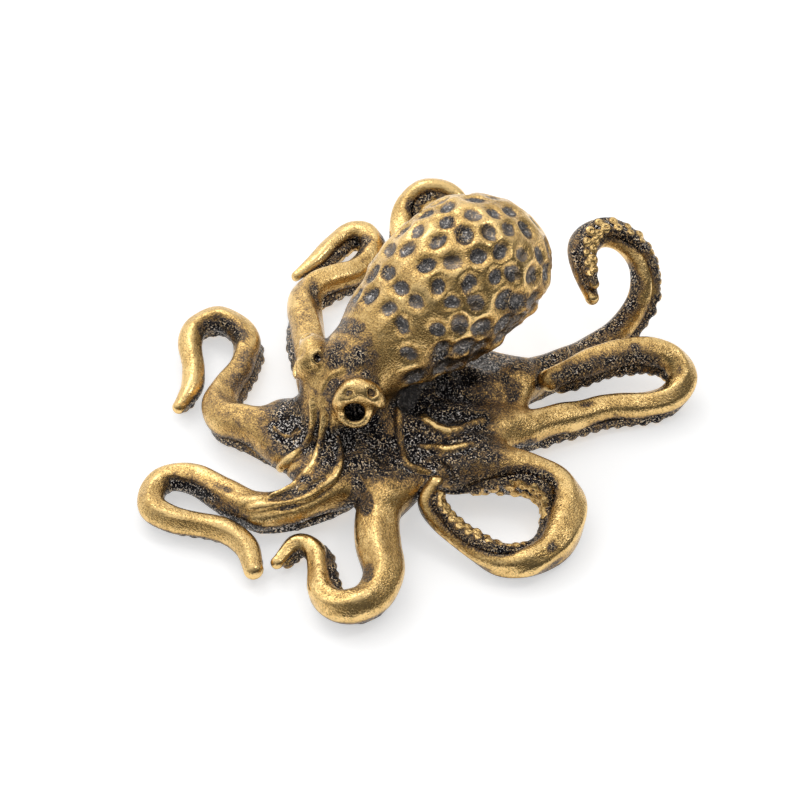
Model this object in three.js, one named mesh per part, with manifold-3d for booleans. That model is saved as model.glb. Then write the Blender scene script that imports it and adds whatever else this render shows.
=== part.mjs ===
// A cast-brass octopus ornament, in millimetres, +Z up, standing on z = 0.
//
// The animal looks along -Y with its mantle lying back along +Y, and its left side is +X.
// It is built the way the wax master is: mantle, head, web and eyes are shaped by themselves,
// each arm is rolled and bent to its own curl, and a pressed band of suckers is laid under it.
// The pieces keep a solder gap to each other.
import * as THREE from 'three';
import { mergeVertices } from 'three/addons/utils/BufferGeometryUtils.js';
import Module from 'manifold-3d';

// Joints between the pieces, and the distance under which two points are one
const SOLDER_GAP = 0.3;
const SAME_POINT = 1e-4;

// Brings the middle of the finished footprint to the origin
const FOOTPRINT_SHIFT = [0.5, -0.25, 0];

// Body: its axis lies in the plane x = BODY_X, with upright elliptic sections
const BODY_X = -2.2;
const BODY_SIDES = 24;
const BODY_STEP = 1.5;
const NECK_Y = -3.8;

// Stations of the body: y, height of the axis, half width, half height
const HEAD_STATIONS = [
  [-12.6, 6.4, 1.2, 0.8], [-11.7, 6.9, 2.5, 2.1], [-10, 7.8, 3.5, 3.3], [-8, 8.8, 4, 3.8],
  [-6, 9.7, 4.3, 4.3], [NECK_Y - SOLDER_GAP, 10.5, 4.5, 4.8],
];
const MANTLE_STATIONS = [
  [NECK_Y, 10.6, 4.6, 4.9], [-1, 11.5, 5.8, 6], [2.5, 12.8, 7, 7.1], [6, 13.8, 7.7, 7.6],
  [9, 14.4, 7.8, 7.7], [12, 14.5, 7.3, 7.2], [14.8, 14.2, 6.2, 6.2], [16.8, 13.8, 4.5, 4.5],
  [18, 13.5, 2.4, 2.4],
];
const MANTLE_TIP = new THREE.Vector3(BODY_X, 18.5, 13.4);

// Dimples: staggered rows of shallow round hollows over the mantle
const DIMPLE_RADIUS = 0.9;
const DIMPLE_DEPTH = 0.45;
const DIMPLE_SIDES = 6;
const DIMPLE_PITCH = 2.7;
const DIMPLE_ROW_STEP = 2.3;
const FIRST_DIMPLE_ROW = -1.8;
const LAST_DIMPLE_ROW = 17.5;
const BARE_BELLY = -0.4;

// Eyes: round mounds with a deep pupil, turned outward, forward and up
const EYE_SPREAD = 2.7;
const FACE_X = -1.6;
const EYE_Y = -7.9;
const EYE_Z = 10;
const EYE_RADIUS = 2.4;
const EYE_SIDES = 15;
const EYE_STEPS = 9;
const PUPIL_RADIUS = 1.1;
const PUPIL_DEPTH = 1.7;
const PUPIL_LIP = 0.15;
const PUPIL_TAPER = 0.85;
const EYE_OUTWARD = 0.68;
const EYE_FORWARD = 0.62;
const EYE_UPWARD = 0.39;

// Web: a tent of skin from the head down to the roots of the arms
const WEB_CENTRE = [-1.8, -6.5];
const WEB_CROWN = 8.2;
const WEB_SAG = 1.2;
const WEB_CEILING = 4.4;
const WEB_SPOKES = 56;
const WEB_RINGS = 6;

// Rim of the web, round from the root of arm left_2: each arm's root, then the notch after it.
// Each row has x, y, and the heights of the top and of the underside.
const WEB_RIM = [
  [12.5, 0.5, 6.3, 2.2], [10.5, 3.5, 5, 3.2],
  [9.5, 6.5, 5.2, 2.2], [8, 9, 4.5, 2.9],
  [5, 12, 5.4, 2.2], [-3, 10, 4.3, 2.8],
  [-9.5, 9.5, 5.1, 2.2], [-11.5, 3, 4.3, 2.8],
  [-12, -3, 5, 2.2], [-9, -8.5, 4.5, 2.9],
  [-7.5, -14, 5.3, 2.2], [-2.5, -15.5, 4.3, 2.8],
  [4, -15, 6, 2.2], [7, -13, 4.8, 3],
  [9.5, -12, 5.7, 2.2], [10.5, -7.5, 4.9, 3.1],
];

// Arms: a rounded back and a flat belly
const ARM_SIDES = 9;
const ARM_STEP = 1.5;
const ROUTE_SAMPLES = 24;
const BELLY_LEVEL = 0.72;
const TIP_BULGE = 0.7;

// Sucker bands: two staggered rows of cups on a thin strip, sized by the arm's radius
const SUCKER_PITCH = 2.3;
const BAND_HALF_WIDTH = 0.74;
const BAND_THICKNESS = 0.3;
const SUCKER_ROW = 0.4;
const SUCKER_HEIGHT = 0.42;

// Stations of each arm from the web to the tip: x, y, z, radius, and the turn in degrees
// that brings the suckers round towards the arm's right-hand side
const ARM_ROUTES = {
  left_1: [
    [7.5, -8.5, 3.8, 2.6, 0], [9.5, -12, 3.4, 2.35, 0], [12.5, -14.5, 2.9, 2.2, 0],
    [15.5, -16.5, 2.6, 2.1, 0], [17, -19.5, 2.4, 1.85, 10], [16, -22, 2.3, 1.6, 25],
    [13.5, -22.3, 2.1, 1.4, 35], [10.5, -20.5, 1.9, 1.25, 35], [8.3, -19.3, 1.9, 1.1, 5],
    [6.5, -20, 1.9, 1, -25], [7, -22.5, 1.7, 0.8, -30],
  ],
  left_2: [
    [10, -2.5, 4.2, 2.5, 0], [12.5, 0.5, 4, 2.3, 15], [15, 2.9, 3.5, 2.1, 40],
    [18, 4, 2.8, 2.05, 60], [20.5, 3, 2.3, 2.05, 70], [22.8, -0.5, 1.9, 1.85, 70],
    [22.7, -4, 1.7, 1.55, 75], [21.1, -6.2, 1.7, 1.35, 75], [17.5, -7.2, 2, 1.2, 75],
    [14, -7.8, 2.8, 1.1, 75], [11.9, -7.7, 3.8, 1.05, 75], [11.4, -6.4, 4.9, 0.9, 75],
  ],
  left_3: [
    [8, 1, 3.6, 2.3, 0], [9.5, 5.5, 3.3, 2, 0], [10.5, 10, 2.7, 1.75, 15],
    [12, 15, 2.3, 1.55, 20], [14, 18.5, 2.1, 1.45, 15], [15.3, 21.4, 2.3, 1.4, 0],
    [14.7, 23.8, 3.2, 1.5, -10], [12.5, 24, 4.2, 1.6, -25], [10.4, 21.7, 5, 1.65, -30],
    [9, 18.2, 5.3, 1.6, -30], [8.2, 15, 5.2, 1.5, -30], [7.5, 12.5, 4.8, 1.25, -30],
  ],
  left_4: [
    [4, 7.5, 3.5, 2.4, 0], [4.7, 14, 2.8, 2, 10], [5.2, 19.8, 2.4, 1.7, 35],
    [5.6, 23.7, 3.8, 1.5, 50], [5.3, 26.5, 6.2, 1.3, 60], [3.3, 28, 8.5, 1.2, 75],
    [0.5, 27.7, 9.9, 1.3, 100], [-1.2, 26.2, 10.4, 1.5, 125], [-1, 24, 10.1, 1.5, 140],
    [1, 22.2, 9.2, 1.2, 140], [3.5, 21.2, 8.2, 0.75, 140],
  ],
  right_4: [
    [-3.5, 6.5, 3.1, 2.3, 0], [-10.5, 10.3, 3.1, 2, 0], [-17, 14, 2.5, 1.75, 20],
    [-20.8, 16.5, 3.2, 1.5, 60], [-22.3, 18.3, 4.3, 1.3, 85], [-22.3, 20.2, 5.2, 1.1, 95],
    [-21, 22, 5.5, 0.95, 95], [-19, 22.7, 5.1, 0.8, 90], [-17.3, 22.5, 4.3, 0.55, 80],
  ],
  right_3: [
    [-3, -6, 4.2, 2.4, 0], [-8.5, -4.5, 3.7, 2.1, -15], [-13.5, -2, 3, 1.9, -25],
    [-18, 1, 2.5, 1.8, -25], [-20.2, 3.5, 2.4, 1.7, -10], [-20, 6.5, 2.3, 1.6, 10],
    [-19.7, 9.2, 2.2, 1.45, 10], [-21, 12.5, 2.2, 1.4, 0], [-23.2, 13.6, 2.2, 1.3, 0],
    [-24.6, 12.3, 2.1, 1.2, 0], [-24.3, 9.7, 2, 1.1, 0], [-23.7, 7, 1.8, 0.95, 0],
    [-23.6, 4.7, 1.5, 0.7, 0],
  ],
  right_2: [
    [-2.5, -12.5, 3.3, 2.5, 0], [-7.7, -14, 3.3, 2.2, -15], [-10.7, -15, 2.8, 2, -10],
    [-13, -14.2, 2.6, 1.85, 10], [-14.7, -11.8, 2.3, 1.65, 25], [-16.2, -8.8, 2.1, 1.4, 30],
    [-18.4, -6.3, 2.1, 1.4, 20], [-20.8, -5.6, 2.2, 1.4, 0], [-23.1, -6.3, 2.2, 1.35, 0],
    [-23.8, -8.5, 2.1, 1.3, 0], [-22.2, -10.8, 2, 1.25, 0], [-19.2, -12.7, 1.9, 1.2, 0],
    [-17.3, -14.4, 1.7, 1.05, 0], [-16.3, -16.7, 1.5, 0.8, 0],
  ],
  right_1: [
    [4, -11.5, 3.6, 2.6, 0], [3.8, -15, 3.6, 2.4, -10], [2.7, -18.3, 3.1, 2.1, -20],
    [0.7, -20.9, 2.7, 1.95, -10], [-3, -21.7, 2.4, 1.75, 0], [-6.4, -22.4, 2.2, 1.55, 0],
    [-8.4, -24, 2.1, 1.4, 0], [-8.3, -26.3, 2, 1.35, 0], [-6.4, -27.8, 2, 1.35, 0],
    [-4, -27.3, 1.9, 1.3, 0], [-1.6, -25.6, 1.9, 1.25, 0], [1, -24.1, 1.9, 1.25, 0],
    [3.6, -23.9, 1.8, 1.2, 0], [6, -25, 1.6, 1, 0],
  ],
};

const polished = new THREE.MeshStandardMaterial({ color: '#a8823f', roughness: 0.38, metalness: 1 });
const darkened = new THREE.MeshStandardMaterial({ color: '#4a4034', roughness: 0.55, metalness: 1 });

const wasm = await Module();
wasm.setup();

// Closed meshes as solids that can be joined and cut, and back again
function solid(geometry) {
  const plain = geometry.clone();
  plain.deleteAttribute('normal');
  plain.deleteAttribute('uv');
  const merged = mergeVertices(plain, SAME_POINT);
  return new wasm.Manifold(new wasm.Mesh({
    numProp: 3,
    vertProperties: new Float32Array(merged.attributes.position.array),
    triVerts: new Uint32Array(merged.index.array),
  }));
}

function largestPiece(body) {
  return body.decompose().sort((a, b) => b.volume() - a.volume())[0];
}

function namedMesh(name, body, material) {
  const { numProp, vertProperties, triVerts } = body.getMesh();
  const rows = new THREE.InterleavedBuffer(vertProperties, numProp);
  const geometry = new THREE.BufferGeometry();
  geometry.setAttribute('position', new THREE.InterleavedBufferAttribute(rows, 3, 0));
  geometry.setIndex(new THREE.BufferAttribute(triVerts, 1));
  const mesh = new THREE.Mesh(geometry, material);
  mesh.name = name;
  return mesh;
}

// A skin over rings of equal count, closed by one point before the first and one after the last.
// Seen from the first ring towards the last, each ring runs anticlockwise.
function loft(rings, startPoint, endPoint) {
  const count = rings[0].length;
  const points = [...rings.flat(), startPoint, endPoint];
  const start = points.length - 2;
  const end = points.length - 1;
  const last = (rings.length - 1) * count;
  const index = [];
  for (let k = 0; k < count; k++) {
    const next = (k + 1) % count;
    index.push(start, k, next, end, last + next, last + k);
    for (let a = 0; a < last; a += count) {
      const b = a + count;
      index.push(a + k, b + k, b + next, a + k, b + next, a + next);
    }
  }
  const geometry = new THREE.BufferGeometry().setFromPoints(points);
  geometry.setIndex(index);
  return geometry;
}

function centreOf(ring) {
  const sum = ring.reduce((total, point) => total.add(point), new THREE.Vector3());
  return sum.divideScalar(ring.length);
}

// A smooth run through rows of numbers, with t = 0 at the first row and 1 more at each next one
function smoothRow(rows, t, closed = false) {
  const count = rows.length;
  const row = (i) => rows[closed ? (i + count) % count : THREE.MathUtils.clamp(i, 0, count - 1)];
  const i = Math.min(Math.floor(t), closed ? count - 1 : count - 2);
  const f = t - i;
  const [before, from, to, after] = [row(i - 1), row(i), row(i + 1), row(i + 2)];
  return from.map((value, c) => {
    const leave = (to[c] - before[c]) / 2;
    const arrive = (after[c] - value) / 2;
    const rise = to[c] - value;
    return value + f * (leave + f * (3 * rise - 2 * leave - arrive + f * (leave + arrive - 2 * rise)));
  });
}

// Body
function bodyRing([y, height, halfWidth, halfHeight]) {
  return Array.from({ length: BODY_SIDES }, (_, k) => {
    const turn = (2 * Math.PI * k) / BODY_SIDES;
    const x = BODY_X + halfWidth * Math.cos(turn);
    return new THREE.Vector3(x, y, height + halfHeight * Math.sin(turn));
  });
}

function bodyRings(stations) {
  const rings = [bodyRing(stations[0])];
  for (let i = 0; i + 1 < stations.length; i++) {
    const steps = Math.max(1, Math.round((stations[i + 1][0] - stations[i][0]) / BODY_STEP));
    for (let s = 1; s <= steps; s++) {
      rings.push(bodyRing(smoothRow(stations, i + s / steps)));
    }
  }
  return rings;
}

// The section at y, found by halving the stretch between the two stations round it
function stationAt(stations, y) {
  const i = stations.findIndex((station, k) => k > 0 && station[0] >= y);
  let [low, high] = [i - 1, i];
  while (high - low > SAME_POINT) {
    const middle = (low + high) / 2;
    if (smoothRow(stations, middle)[0] < y) {
      low = middle;
    } else {
      high = middle;
    }
  }
  return smoothRow(stations, low);
}

// Each hollow is cut by a blunt cone, pointing in, that is as wide as the hollow at the surface
function dimpleCutters() {
  const nudge = 0.05;
  const inward = new THREE.Vector3(0, 1, 0);
  const cutters = [];
  let stagger = 0;
  for (let y = FIRST_DIMPLE_ROW; y < LAST_DIMPLE_ROW; y += DIMPLE_ROW_STEP) {
    const [, height, halfWidth, halfHeight] = stationAt(MANTLE_STATIONS, y);
    const wider = stationAt(MANTLE_STATIONS, y + nudge)[2];
    const slope = (wider - halfWidth) / nudge;
    const count = Math.round((Math.PI * (halfWidth + halfHeight)) / DIMPLE_PITCH);
    for (let k = 0; k < count; k++) {
      const turn = (2 * Math.PI * (k + stagger)) / count;
      const [across, up] = [Math.cos(turn), Math.sin(turn)];
      if (up < BARE_BELLY) {
        continue;
      }
      const normal = new THREE.Vector3(across, -slope, up).normalize();
      const cutter = new THREE.ConeGeometry(2 * DIMPLE_RADIUS, 2 * DIMPLE_DEPTH, DIMPLE_SIDES);
      cutter.applyQuaternion(
        new THREE.Quaternion().setFromUnitVectors(inward, normal.clone().negate()));
      cutters.push(cutter.translate(BODY_X + halfWidth * across, y, height + halfHeight * up));
    }
    stagger = 0.5 - stagger;
  }
  return cutters;
}

function makeMantle(webTent) {
  const rings = bodyRings(MANTLE_STATIONS);
  const egg = solid(loft(rings, centreOf(rings[0]), MANTLE_TIP)).subtract(webTent);
  return dimpleCutters().reduce((body, cutter) => body.subtract(solid(cutter)), egg);
}

function makeHead(eyeSockets, webTent) {
  const rings = bodyRings(HEAD_STATIONS);
  const face = solid(loft(rings, centreOf(rings[0]), centreOf(rings.at(-1))));
  return eyeSockets.reduce((body, socket) => body.subtract(socket), face.subtract(webTent));
}

// Eyes, one on each side: side is 1 for the left eye and -1 for the right one
function eyePlace(side) {
  return new THREE.Vector3(FACE_X + side * EYE_SPREAD, EYE_Y, EYE_Z);
}

function eyeSocket(side) {
  const { x, y, z } = eyePlace(side);
  const ball = new THREE.SphereGeometry(EYE_RADIUS + SOLDER_GAP, EYE_SIDES, EYE_STEPS);
  return solid(ball.translate(x, y, z));
}

function makeEye(side) {
  const rimAngle = Math.asin((PUPIL_RADIUS + PUPIL_LIP) / EYE_RADIUS);
  const mound = new THREE.EllipseCurve(0, 0, EYE_RADIUS, EYE_RADIUS, -Math.PI / 2, Math.PI / 2 - rimAngle);
  const lid = EYE_RADIUS * Math.cos(rimAngle);
  const floor = EYE_RADIUS - PUPIL_DEPTH;
  const profile = mound.getPoints(EYE_STEPS);
  profile[0].x = 0;
  profile.push(new THREE.Vector2(PUPIL_RADIUS, lid - PUPIL_LIP));
  profile.push(new THREE.Vector2(PUPIL_RADIUS * PUPIL_TAPER, floor + PUPIL_LIP));
  profile.push(new THREE.Vector2(0, floor));
  const gaze = new THREE.Vector3(side * EYE_OUTWARD, -EYE_FORWARD, EYE_UPWARD).normalize();
  const { x, y, z } = eyePlace(side);
  const eye = new THREE.LatheGeometry(profile, EYE_SIDES);
  eye.applyQuaternion(new THREE.Quaternion().setFromUnitVectors(new THREE.Vector3(0, 1, 0), gaze));
  return solid(eye.translate(x, y, z));
}

// Web: rings from the middle of the underside out to the rim and back over the top.
// margin swells it all round, and floor and ceiling, if given, replace its underside and its top.
function webSolid(margin, floor, ceiling) {
  const [x0, y0] = WEB_CENTRE;
  const rim = Array.from({ length: WEB_SPOKES }, (_, k) => {
    const t = WEB_RIM.length * (1 - k / WEB_SPOKES);
    return smoothRow(WEB_RIM, t % WEB_RIM.length, true);
  });
  const ring = (share, heightOf) => rim.map(([x, y, top, low]) => {
    const out = new THREE.Vector2(x - x0, y - y0);
    out.setLength(share * (out.length() + margin));
    return new THREE.Vector3(x0 + out.x, y0 + out.y, heightOf(share, top, low));
  });
  const under = (share, top, low) => floor ?? WEB_CEILING + (low - WEB_CEILING) * share ** 2 - margin;
  const over = (share, top) => ceiling ?? top + (WEB_CROWN - top) * (1 - share) ** WEB_SAG + margin;
  const rings = [];
  for (let i = 1; i <= WEB_RINGS; i++) {
    rings.push(ring(i / WEB_RINGS, under));
  }
  for (let i = WEB_RINGS; i > 0; i--) {
    rings.push(ring(i / WEB_RINGS, over));
  }
  const bottom = new THREE.Vector3(x0, y0, floor ?? WEB_CEILING - margin);
  const crown = new THREE.Vector3(x0, y0, ceiling ?? WEB_CROWN + margin);
  return solid(loft(rings, bottom, crown));
}

// Arms: stations at even steps along the route, each with the arm's back carried along it
function armStations(route, step) {
  const samples = ROUTE_SAMPLES * (route.length - 1);
  const fine = Array.from({ length: samples + 1 }, (_, i) => (
    smoothRow(route, ((route.length - 1) * i) / samples)));
  const places = fine.map(([x, y, z]) => new THREE.Vector3(x, y, z));
  const lengths = [0];
  for (let i = 1; i <= samples; i++) {
    lengths.push(lengths[i - 1] + places[i].distanceTo(places[i - 1]));
  }
  const steps = Math.round(lengths[samples] / step);
  const stations = [];
  let back = new THREE.Vector3(0, 0, 1);
  for (let i = 0, s = 0; s <= samples; s++) {
    const ahead = places[Math.min(s + 1, samples)].clone();
    const along = ahead.sub(places[Math.max(s - 1, 0)]).normalize();
    back = back.addScaledVector(along, -back.dot(along)).normalize();
    if (lengths[s] >= (lengths[samples] * i) / steps - SAME_POINT) {
      const turn = THREE.MathUtils.degToRad(-fine[s][4]);
      const dorsal = back.clone().applyAxisAngle(along, turn);
      const side = along.clone().cross(dorsal);
      stations.push({ centre: places[s], along, dorsal, side, radius: fine[s][3] });
      i += 1;
    }
  }
  return stations;
}

function sectionPoint({ centre, side, dorsal }, across, up) {
  return centre.clone().addScaledVector(side, across).addScaledVector(dorsal, up);
}

function makeArm(route, webColumn) {
  const stations = armStations(route, ARM_STEP);
  const tip = stations.at(-1);
  const blunt = { ...tip, radius: tip.radius * TIP_BULGE };
  blunt.centre = tip.centre.clone().addScaledVector(tip.along, tip.radius * TIP_BULGE);
  const rings = [...stations, blunt].map((station) => (
    Array.from({ length: ARM_SIDES }, (_, k) => {
      const turn = Math.PI / 2 + (2 * Math.PI * k) / ARM_SIDES;
      const up = Math.max(Math.sin(turn), -BELLY_LEVEL);
      return sectionPoint(station, station.radius * Math.cos(turn), station.radius * up);
    })));
  const point = tip.centre.clone().addScaledVector(tip.along, tip.radius);
  const arm = solid(loft(rings, stations[0].centre, point));
  return largestPiece(arm.subtract(webColumn));
}

// Suckers: each half pitch has a cup in one of the two rows, left and right in turn
function makeSuckerBand(route, webClearance, aboveGround) {
  const stations = armStations(route, SUCKER_PITCH / 2).slice(0, -1);
  const rings = stations.map((station, i) => {
    const { radius } = station;
    const top = -BELLY_LEVEL * radius - SOLDER_GAP;
    const base = top - BAND_THICKNESS;
    const cup = base - SUCKER_HEIGHT * radius;
    const inside = i > 0 && i + 1 < stations.length;
    const right = inside && i % 2 === 1 ? cup : base;
    const left = inside && i % 2 === 0 ? cup : base;
    const width = BAND_HALF_WIDTH * radius;
    const row = SUCKER_ROW * radius;
    return [
      [-width, top], [-width, base], [-row, left], [0, base], [row, right], [width, base], [width, top],
    ].map(([across, up]) => sectionPoint(station, across, up));
  });
  const band = solid(loft(rings, centreOf(rings[0]), centreOf(rings.at(-1))));
  return largestPiece(band.subtract(webClearance).intersect(aboveGround));
}

// Assembly
const FAR = 100;
const aboveGround = solid(new THREE.BoxGeometry(FAR, FAR, FAR).translate(0, 0, FAR / 2));
const web = webSolid(0);
const webClearance = webSolid(SOLDER_GAP);
const webTent = webSolid(SOLDER_GAP, -FAR);
const webColumn = webSolid(SOLDER_GAP, -FAR, FAR);

const octopus = new THREE.Group();
octopus.position.set(...FOOTPRINT_SHIFT);
octopus.add(namedMesh('mantle', makeMantle(webTent), polished));
octopus.add(namedMesh('head', makeHead([eyeSocket(1), eyeSocket(-1)], webTent), polished));
octopus.add(namedMesh('web', web, darkened));
octopus.add(namedMesh('eye_left', makeEye(1), polished));
octopus.add(namedMesh('eye_right', makeEye(-1), polished));
for (const [name, route] of Object.entries(ARM_ROUTES)) {
  octopus.add(namedMesh(`arm_${name}`, makeArm(route, webColumn), polished));
  octopus.add(namedMesh(`suckers_${name}`, makeSuckerBand(route, webClearance, aboveGround), darkened));
}

export default octopus;
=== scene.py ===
# %% [markdown]
# # A small octopus in antiqued brass
# The real figure is a lost-wax casting. Its maker shapes a mantle, a head, eyes, a web and eight
# arms in wax, melts the joints together with a warm tool and casts the whole thing in brass. A dark
# bath then blackens the metal, and a polishing cloth brings the high spots back to gold.
# The lesson follows the same order: clay, skin, suckers, patina, light.

# %% Load the frame
import math

import bpy
import numpy as np
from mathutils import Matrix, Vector


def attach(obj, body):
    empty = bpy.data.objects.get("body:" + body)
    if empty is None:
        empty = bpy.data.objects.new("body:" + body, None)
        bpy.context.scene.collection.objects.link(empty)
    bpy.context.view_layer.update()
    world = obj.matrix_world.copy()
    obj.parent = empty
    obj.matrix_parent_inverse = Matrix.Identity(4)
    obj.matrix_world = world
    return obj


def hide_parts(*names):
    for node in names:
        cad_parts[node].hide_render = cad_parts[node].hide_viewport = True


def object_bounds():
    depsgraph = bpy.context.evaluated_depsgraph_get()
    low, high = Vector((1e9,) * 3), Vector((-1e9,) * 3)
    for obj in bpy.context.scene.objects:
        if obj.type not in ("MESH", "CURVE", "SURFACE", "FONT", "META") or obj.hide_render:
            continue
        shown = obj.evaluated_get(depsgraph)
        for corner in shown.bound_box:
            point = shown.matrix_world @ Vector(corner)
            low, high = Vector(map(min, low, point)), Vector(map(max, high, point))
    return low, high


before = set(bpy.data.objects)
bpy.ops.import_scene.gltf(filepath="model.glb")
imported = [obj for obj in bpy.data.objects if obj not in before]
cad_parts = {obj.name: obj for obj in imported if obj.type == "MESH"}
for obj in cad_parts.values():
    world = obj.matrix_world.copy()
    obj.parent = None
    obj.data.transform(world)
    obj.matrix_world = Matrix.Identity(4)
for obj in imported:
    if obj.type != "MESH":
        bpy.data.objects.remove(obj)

MM = 0.001
cad_box = [list(corner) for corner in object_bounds()]
print("frame in mm:", [[round(value / MM, 1) for value in corner] for corner in cad_box])

# %% [markdown]
# ## Camera
# A product photographer shoots such a small thing from above with a long lens, so that near and
# far arms keep almost the same scale. The camera stands four hundred millimetres away, half way
# between a side view and a plan.

# %% Camera
CAMERA_AZIMUTH = math.radians(50)
CAMERA_ELEVATION = math.radians(45)
CAMERA_DISTANCE = 400 * MM
CAMERA_LENS = 180
LOOK_AT = Vector((1.1, -2.05, 5.66)) * MM


def direction(azimuth, elevation):
    """The way from the figure to something that stands at an azimuth and an elevation."""
    level = math.cos(elevation)
    return Vector((math.sin(azimuth) * level, -math.cos(azimuth) * level, math.sin(elevation)))


towards_camera = direction(CAMERA_AZIMUTH, CAMERA_ELEVATION)
camera = bpy.data.objects.new("camera", bpy.data.cameras.new("camera"))
camera.data.lens = CAMERA_LENS
camera.location = LOOK_AT + CAMERA_DISTANCE * towards_camera
camera.rotation_euler = towards_camera.to_track_quat("Z", "Y").to_euler()
bpy.context.scene.collection.objects.link(camera)
bpy.context.scene.camera = camera
print("camera at", [round(value, 3) for value in camera.location])

# %% [markdown]
# ## Digital clay
# Joining meshes with booleans leaves a hard crease at every joint, which then needs smoothing by
# hand. Clay is kinder. A grid of points fills the object's box and each point holds its distance to
# the skin, negative inside. Two forms are melted together by a minimum that rounds the corner
# between them, and the skin is drawn where the distance passes through zero.

# %% Clay
FAR = 50.0


def smooth_min(a, b, melt):
    """The smaller of two distances, with the corner between them rounded over about melt millimetres."""
    near = np.maximum(melt - np.abs(a - b), 0)
    return np.minimum(a, b) - near * near / (4 * melt)


def unit(rows):
    """Rows of numbers, each brought to length one."""
    return rows / np.maximum(np.linalg.norm(rows, axis=-1, keepdims=True), 1e-9)


class Clay:
    """A block of grid points that hold their distance to the skin, in millimetres, negative inside."""

    def __init__(self, low, high, spacing):
        self.low = np.asarray(low, float)
        self.spacing = spacing
        self.shape = np.ceil((np.asarray(high, float) - self.low) / spacing).astype(int) + 1
        self.ticks = [
            (start + spacing * np.arange(count)).astype(np.float32)
            for start, count in zip(self.low, self.shape)
        ]
        self.depth = np.full(self.shape, FAR, np.float32)
        self.owner = np.zeros(self.shape, np.int8)

    def block(self, low, high):
        """The part of the grid between two corners, and its coordinates."""
        first = np.floor((np.asarray(low) - self.low) / self.spacing).astype(int)
        last = np.ceil((np.asarray(high) - self.low) / self.spacing).astype(int) + 1
        first = np.clip(first, 0, self.shape)
        last = np.clip(last, first, self.shape)
        cut = tuple(slice(a, b) for a, b in zip(first, last))
        x, y, z = (tick[part] for tick, part in zip(self.ticks, cut))
        return cut, x[:, None, None], y[None, :, None], z[None, None, :]

    def add(self, cut, distance, melt, owner=0):
        """Melts a form onto the clay, and notes which piece each point belongs to."""
        old = self.depth[cut]
        self.owner[cut] = np.where(distance < old, owner, self.owner[cut])
        self.depth[cut] = smooth_min(old, distance, melt)

    def carve(self, cut, distance, melt):
        """Takes a form out of the clay."""
        self.depth[cut] = -smooth_min(-self.depth[cut], distance, melt)

    def cells_of(self, points):
        """The nearest grid point of each place."""
        cells = np.rint((points - self.low) / self.spacing).astype(int)
        return tuple(np.clip(cells, 0, self.shape - 1).T)

    def slope(self, points):
        """The direction straight out of the clay at each place."""
        steps = np.eye(3) * self.spacing
        return unit(np.stack([
            self.depth[self.cells_of(points + step)] - self.depth[self.cells_of(points - step)]
            for step in steps
        ], axis=1))

    def snap(self, points, passes=4):
        """Slides places along the slope of the clay until they lie on its skin."""
        points = np.array(points, float)
        for _ in range(passes):
            points -= self.slope(points) * self.depth[self.cells_of(points)][:, None]
        return points


print("forms at 0 and 1 mm, melted over 2 mm, meet at", smooth_min(0.0, 1.0, 2.0), "mm")

# %% [markdown]
# ## From clay to mesh
# The skin gets one vertex in every grid cell that it passes through, at the mean of the places where
# the cell's edges are crossed, and one quad round every grid edge that it crosses. This is known as
# surface nets. It gives even quads of one size, which suit displacement and smooth shading.

# %% Skin
CORNERS = [np.array((i, j, k)) for i in (0, 1) for j in (0, 1) for k in (0, 1)]
UNIT = np.eye(3, dtype=int)


def skin_of(clay):
    """Vertices in millimetres and quads of the surface where the clay's distance is zero."""
    inside = clay.depth < 0
    room = clay.shape - 1
    filled = sum(
        inside[tuple(slice(o, o + n) for o, n in zip(corner, room))].astype(np.int8) for corner in CORNERS)
    cells = np.argwhere((filled > 0) & (filled < len(CORNERS)))
    number = np.full(room, -1, np.int32)
    number[tuple(cells.T)] = np.arange(len(cells))

    total = np.zeros((len(cells), 3))
    hits = np.zeros((len(cells), 1))
    quads = []
    for axis in range(3):
        for corner in CORNERS:
            if corner[axis]:
                continue
            a = clay.depth[tuple((cells + corner).T)]
            b = clay.depth[tuple((cells + corner + UNIT[axis]).T)]
            crossed = ((a < 0) != (b < 0))[:, None]
            share = (a / np.where(a == b, 1, a - b))[:, None]
            total += crossed * (corner + share * UNIT[axis])
            hits += crossed

        u, v = UNIT[(axis + 1) % 3], UNIT[(axis + 2) % 3]
        here = np.take(inside, range(room[axis]), axis)
        ahead = np.take(inside, range(1, clay.shape[axis]), axis)
        edges = np.argwhere(here != ahead)
        around = [number[tuple((edges - step).T)] for step in (u + v, v, 0 * u, u)]
        ring = np.stack(around, axis=1)
        hollow = ~inside[tuple(edges.T)]
        ring[hollow] = ring[hollow][:, ::-1]
        quads.append(ring)
    points = clay.low + clay.spacing * (cells + total / hits)
    return points, np.concatenate(quads)


def edges_of(quads, count):
    """Each edge of the quads once, as two columns of vertex numbers."""
    ends = np.concatenate([quads[:, [i, (i + 1) % 4]] for i in range(4)]).astype(np.int64)
    ends.sort(axis=1)
    once = np.unique(ends[:, 0] * count + ends[:, 1])
    return once // count, once % count


def relaxed(values, edges, rounds, share=0.5):
    """Moves every vertex's values towards the mean of its neighbours, a number of times."""
    a, b = edges
    count = len(values)
    degree = np.bincount(a, minlength=count) + np.bincount(b, minlength=count)
    values = values.astype(float)
    for _ in range(rounds):
        columns = [
            np.bincount(a, column[b], count) + np.bincount(b, column[a], count) for column in values.T
        ]
        values += share * (np.stack(columns, axis=1) / degree[:, None] - values)
    return values


def normals_of(points, quads):
    """Vertex normals, weighted by the area of the quads."""
    across = points[quads[:, 2]] - points[quads[:, 0]]
    along = points[quads[:, 3]] - points[quads[:, 1]]
    face = np.cross(across, along)
    return unit(np.stack([
        sum(np.bincount(quads[:, k], face[:, axis], len(points)) for k in range(4)) for axis in range(3)
    ], axis=1))


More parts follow.
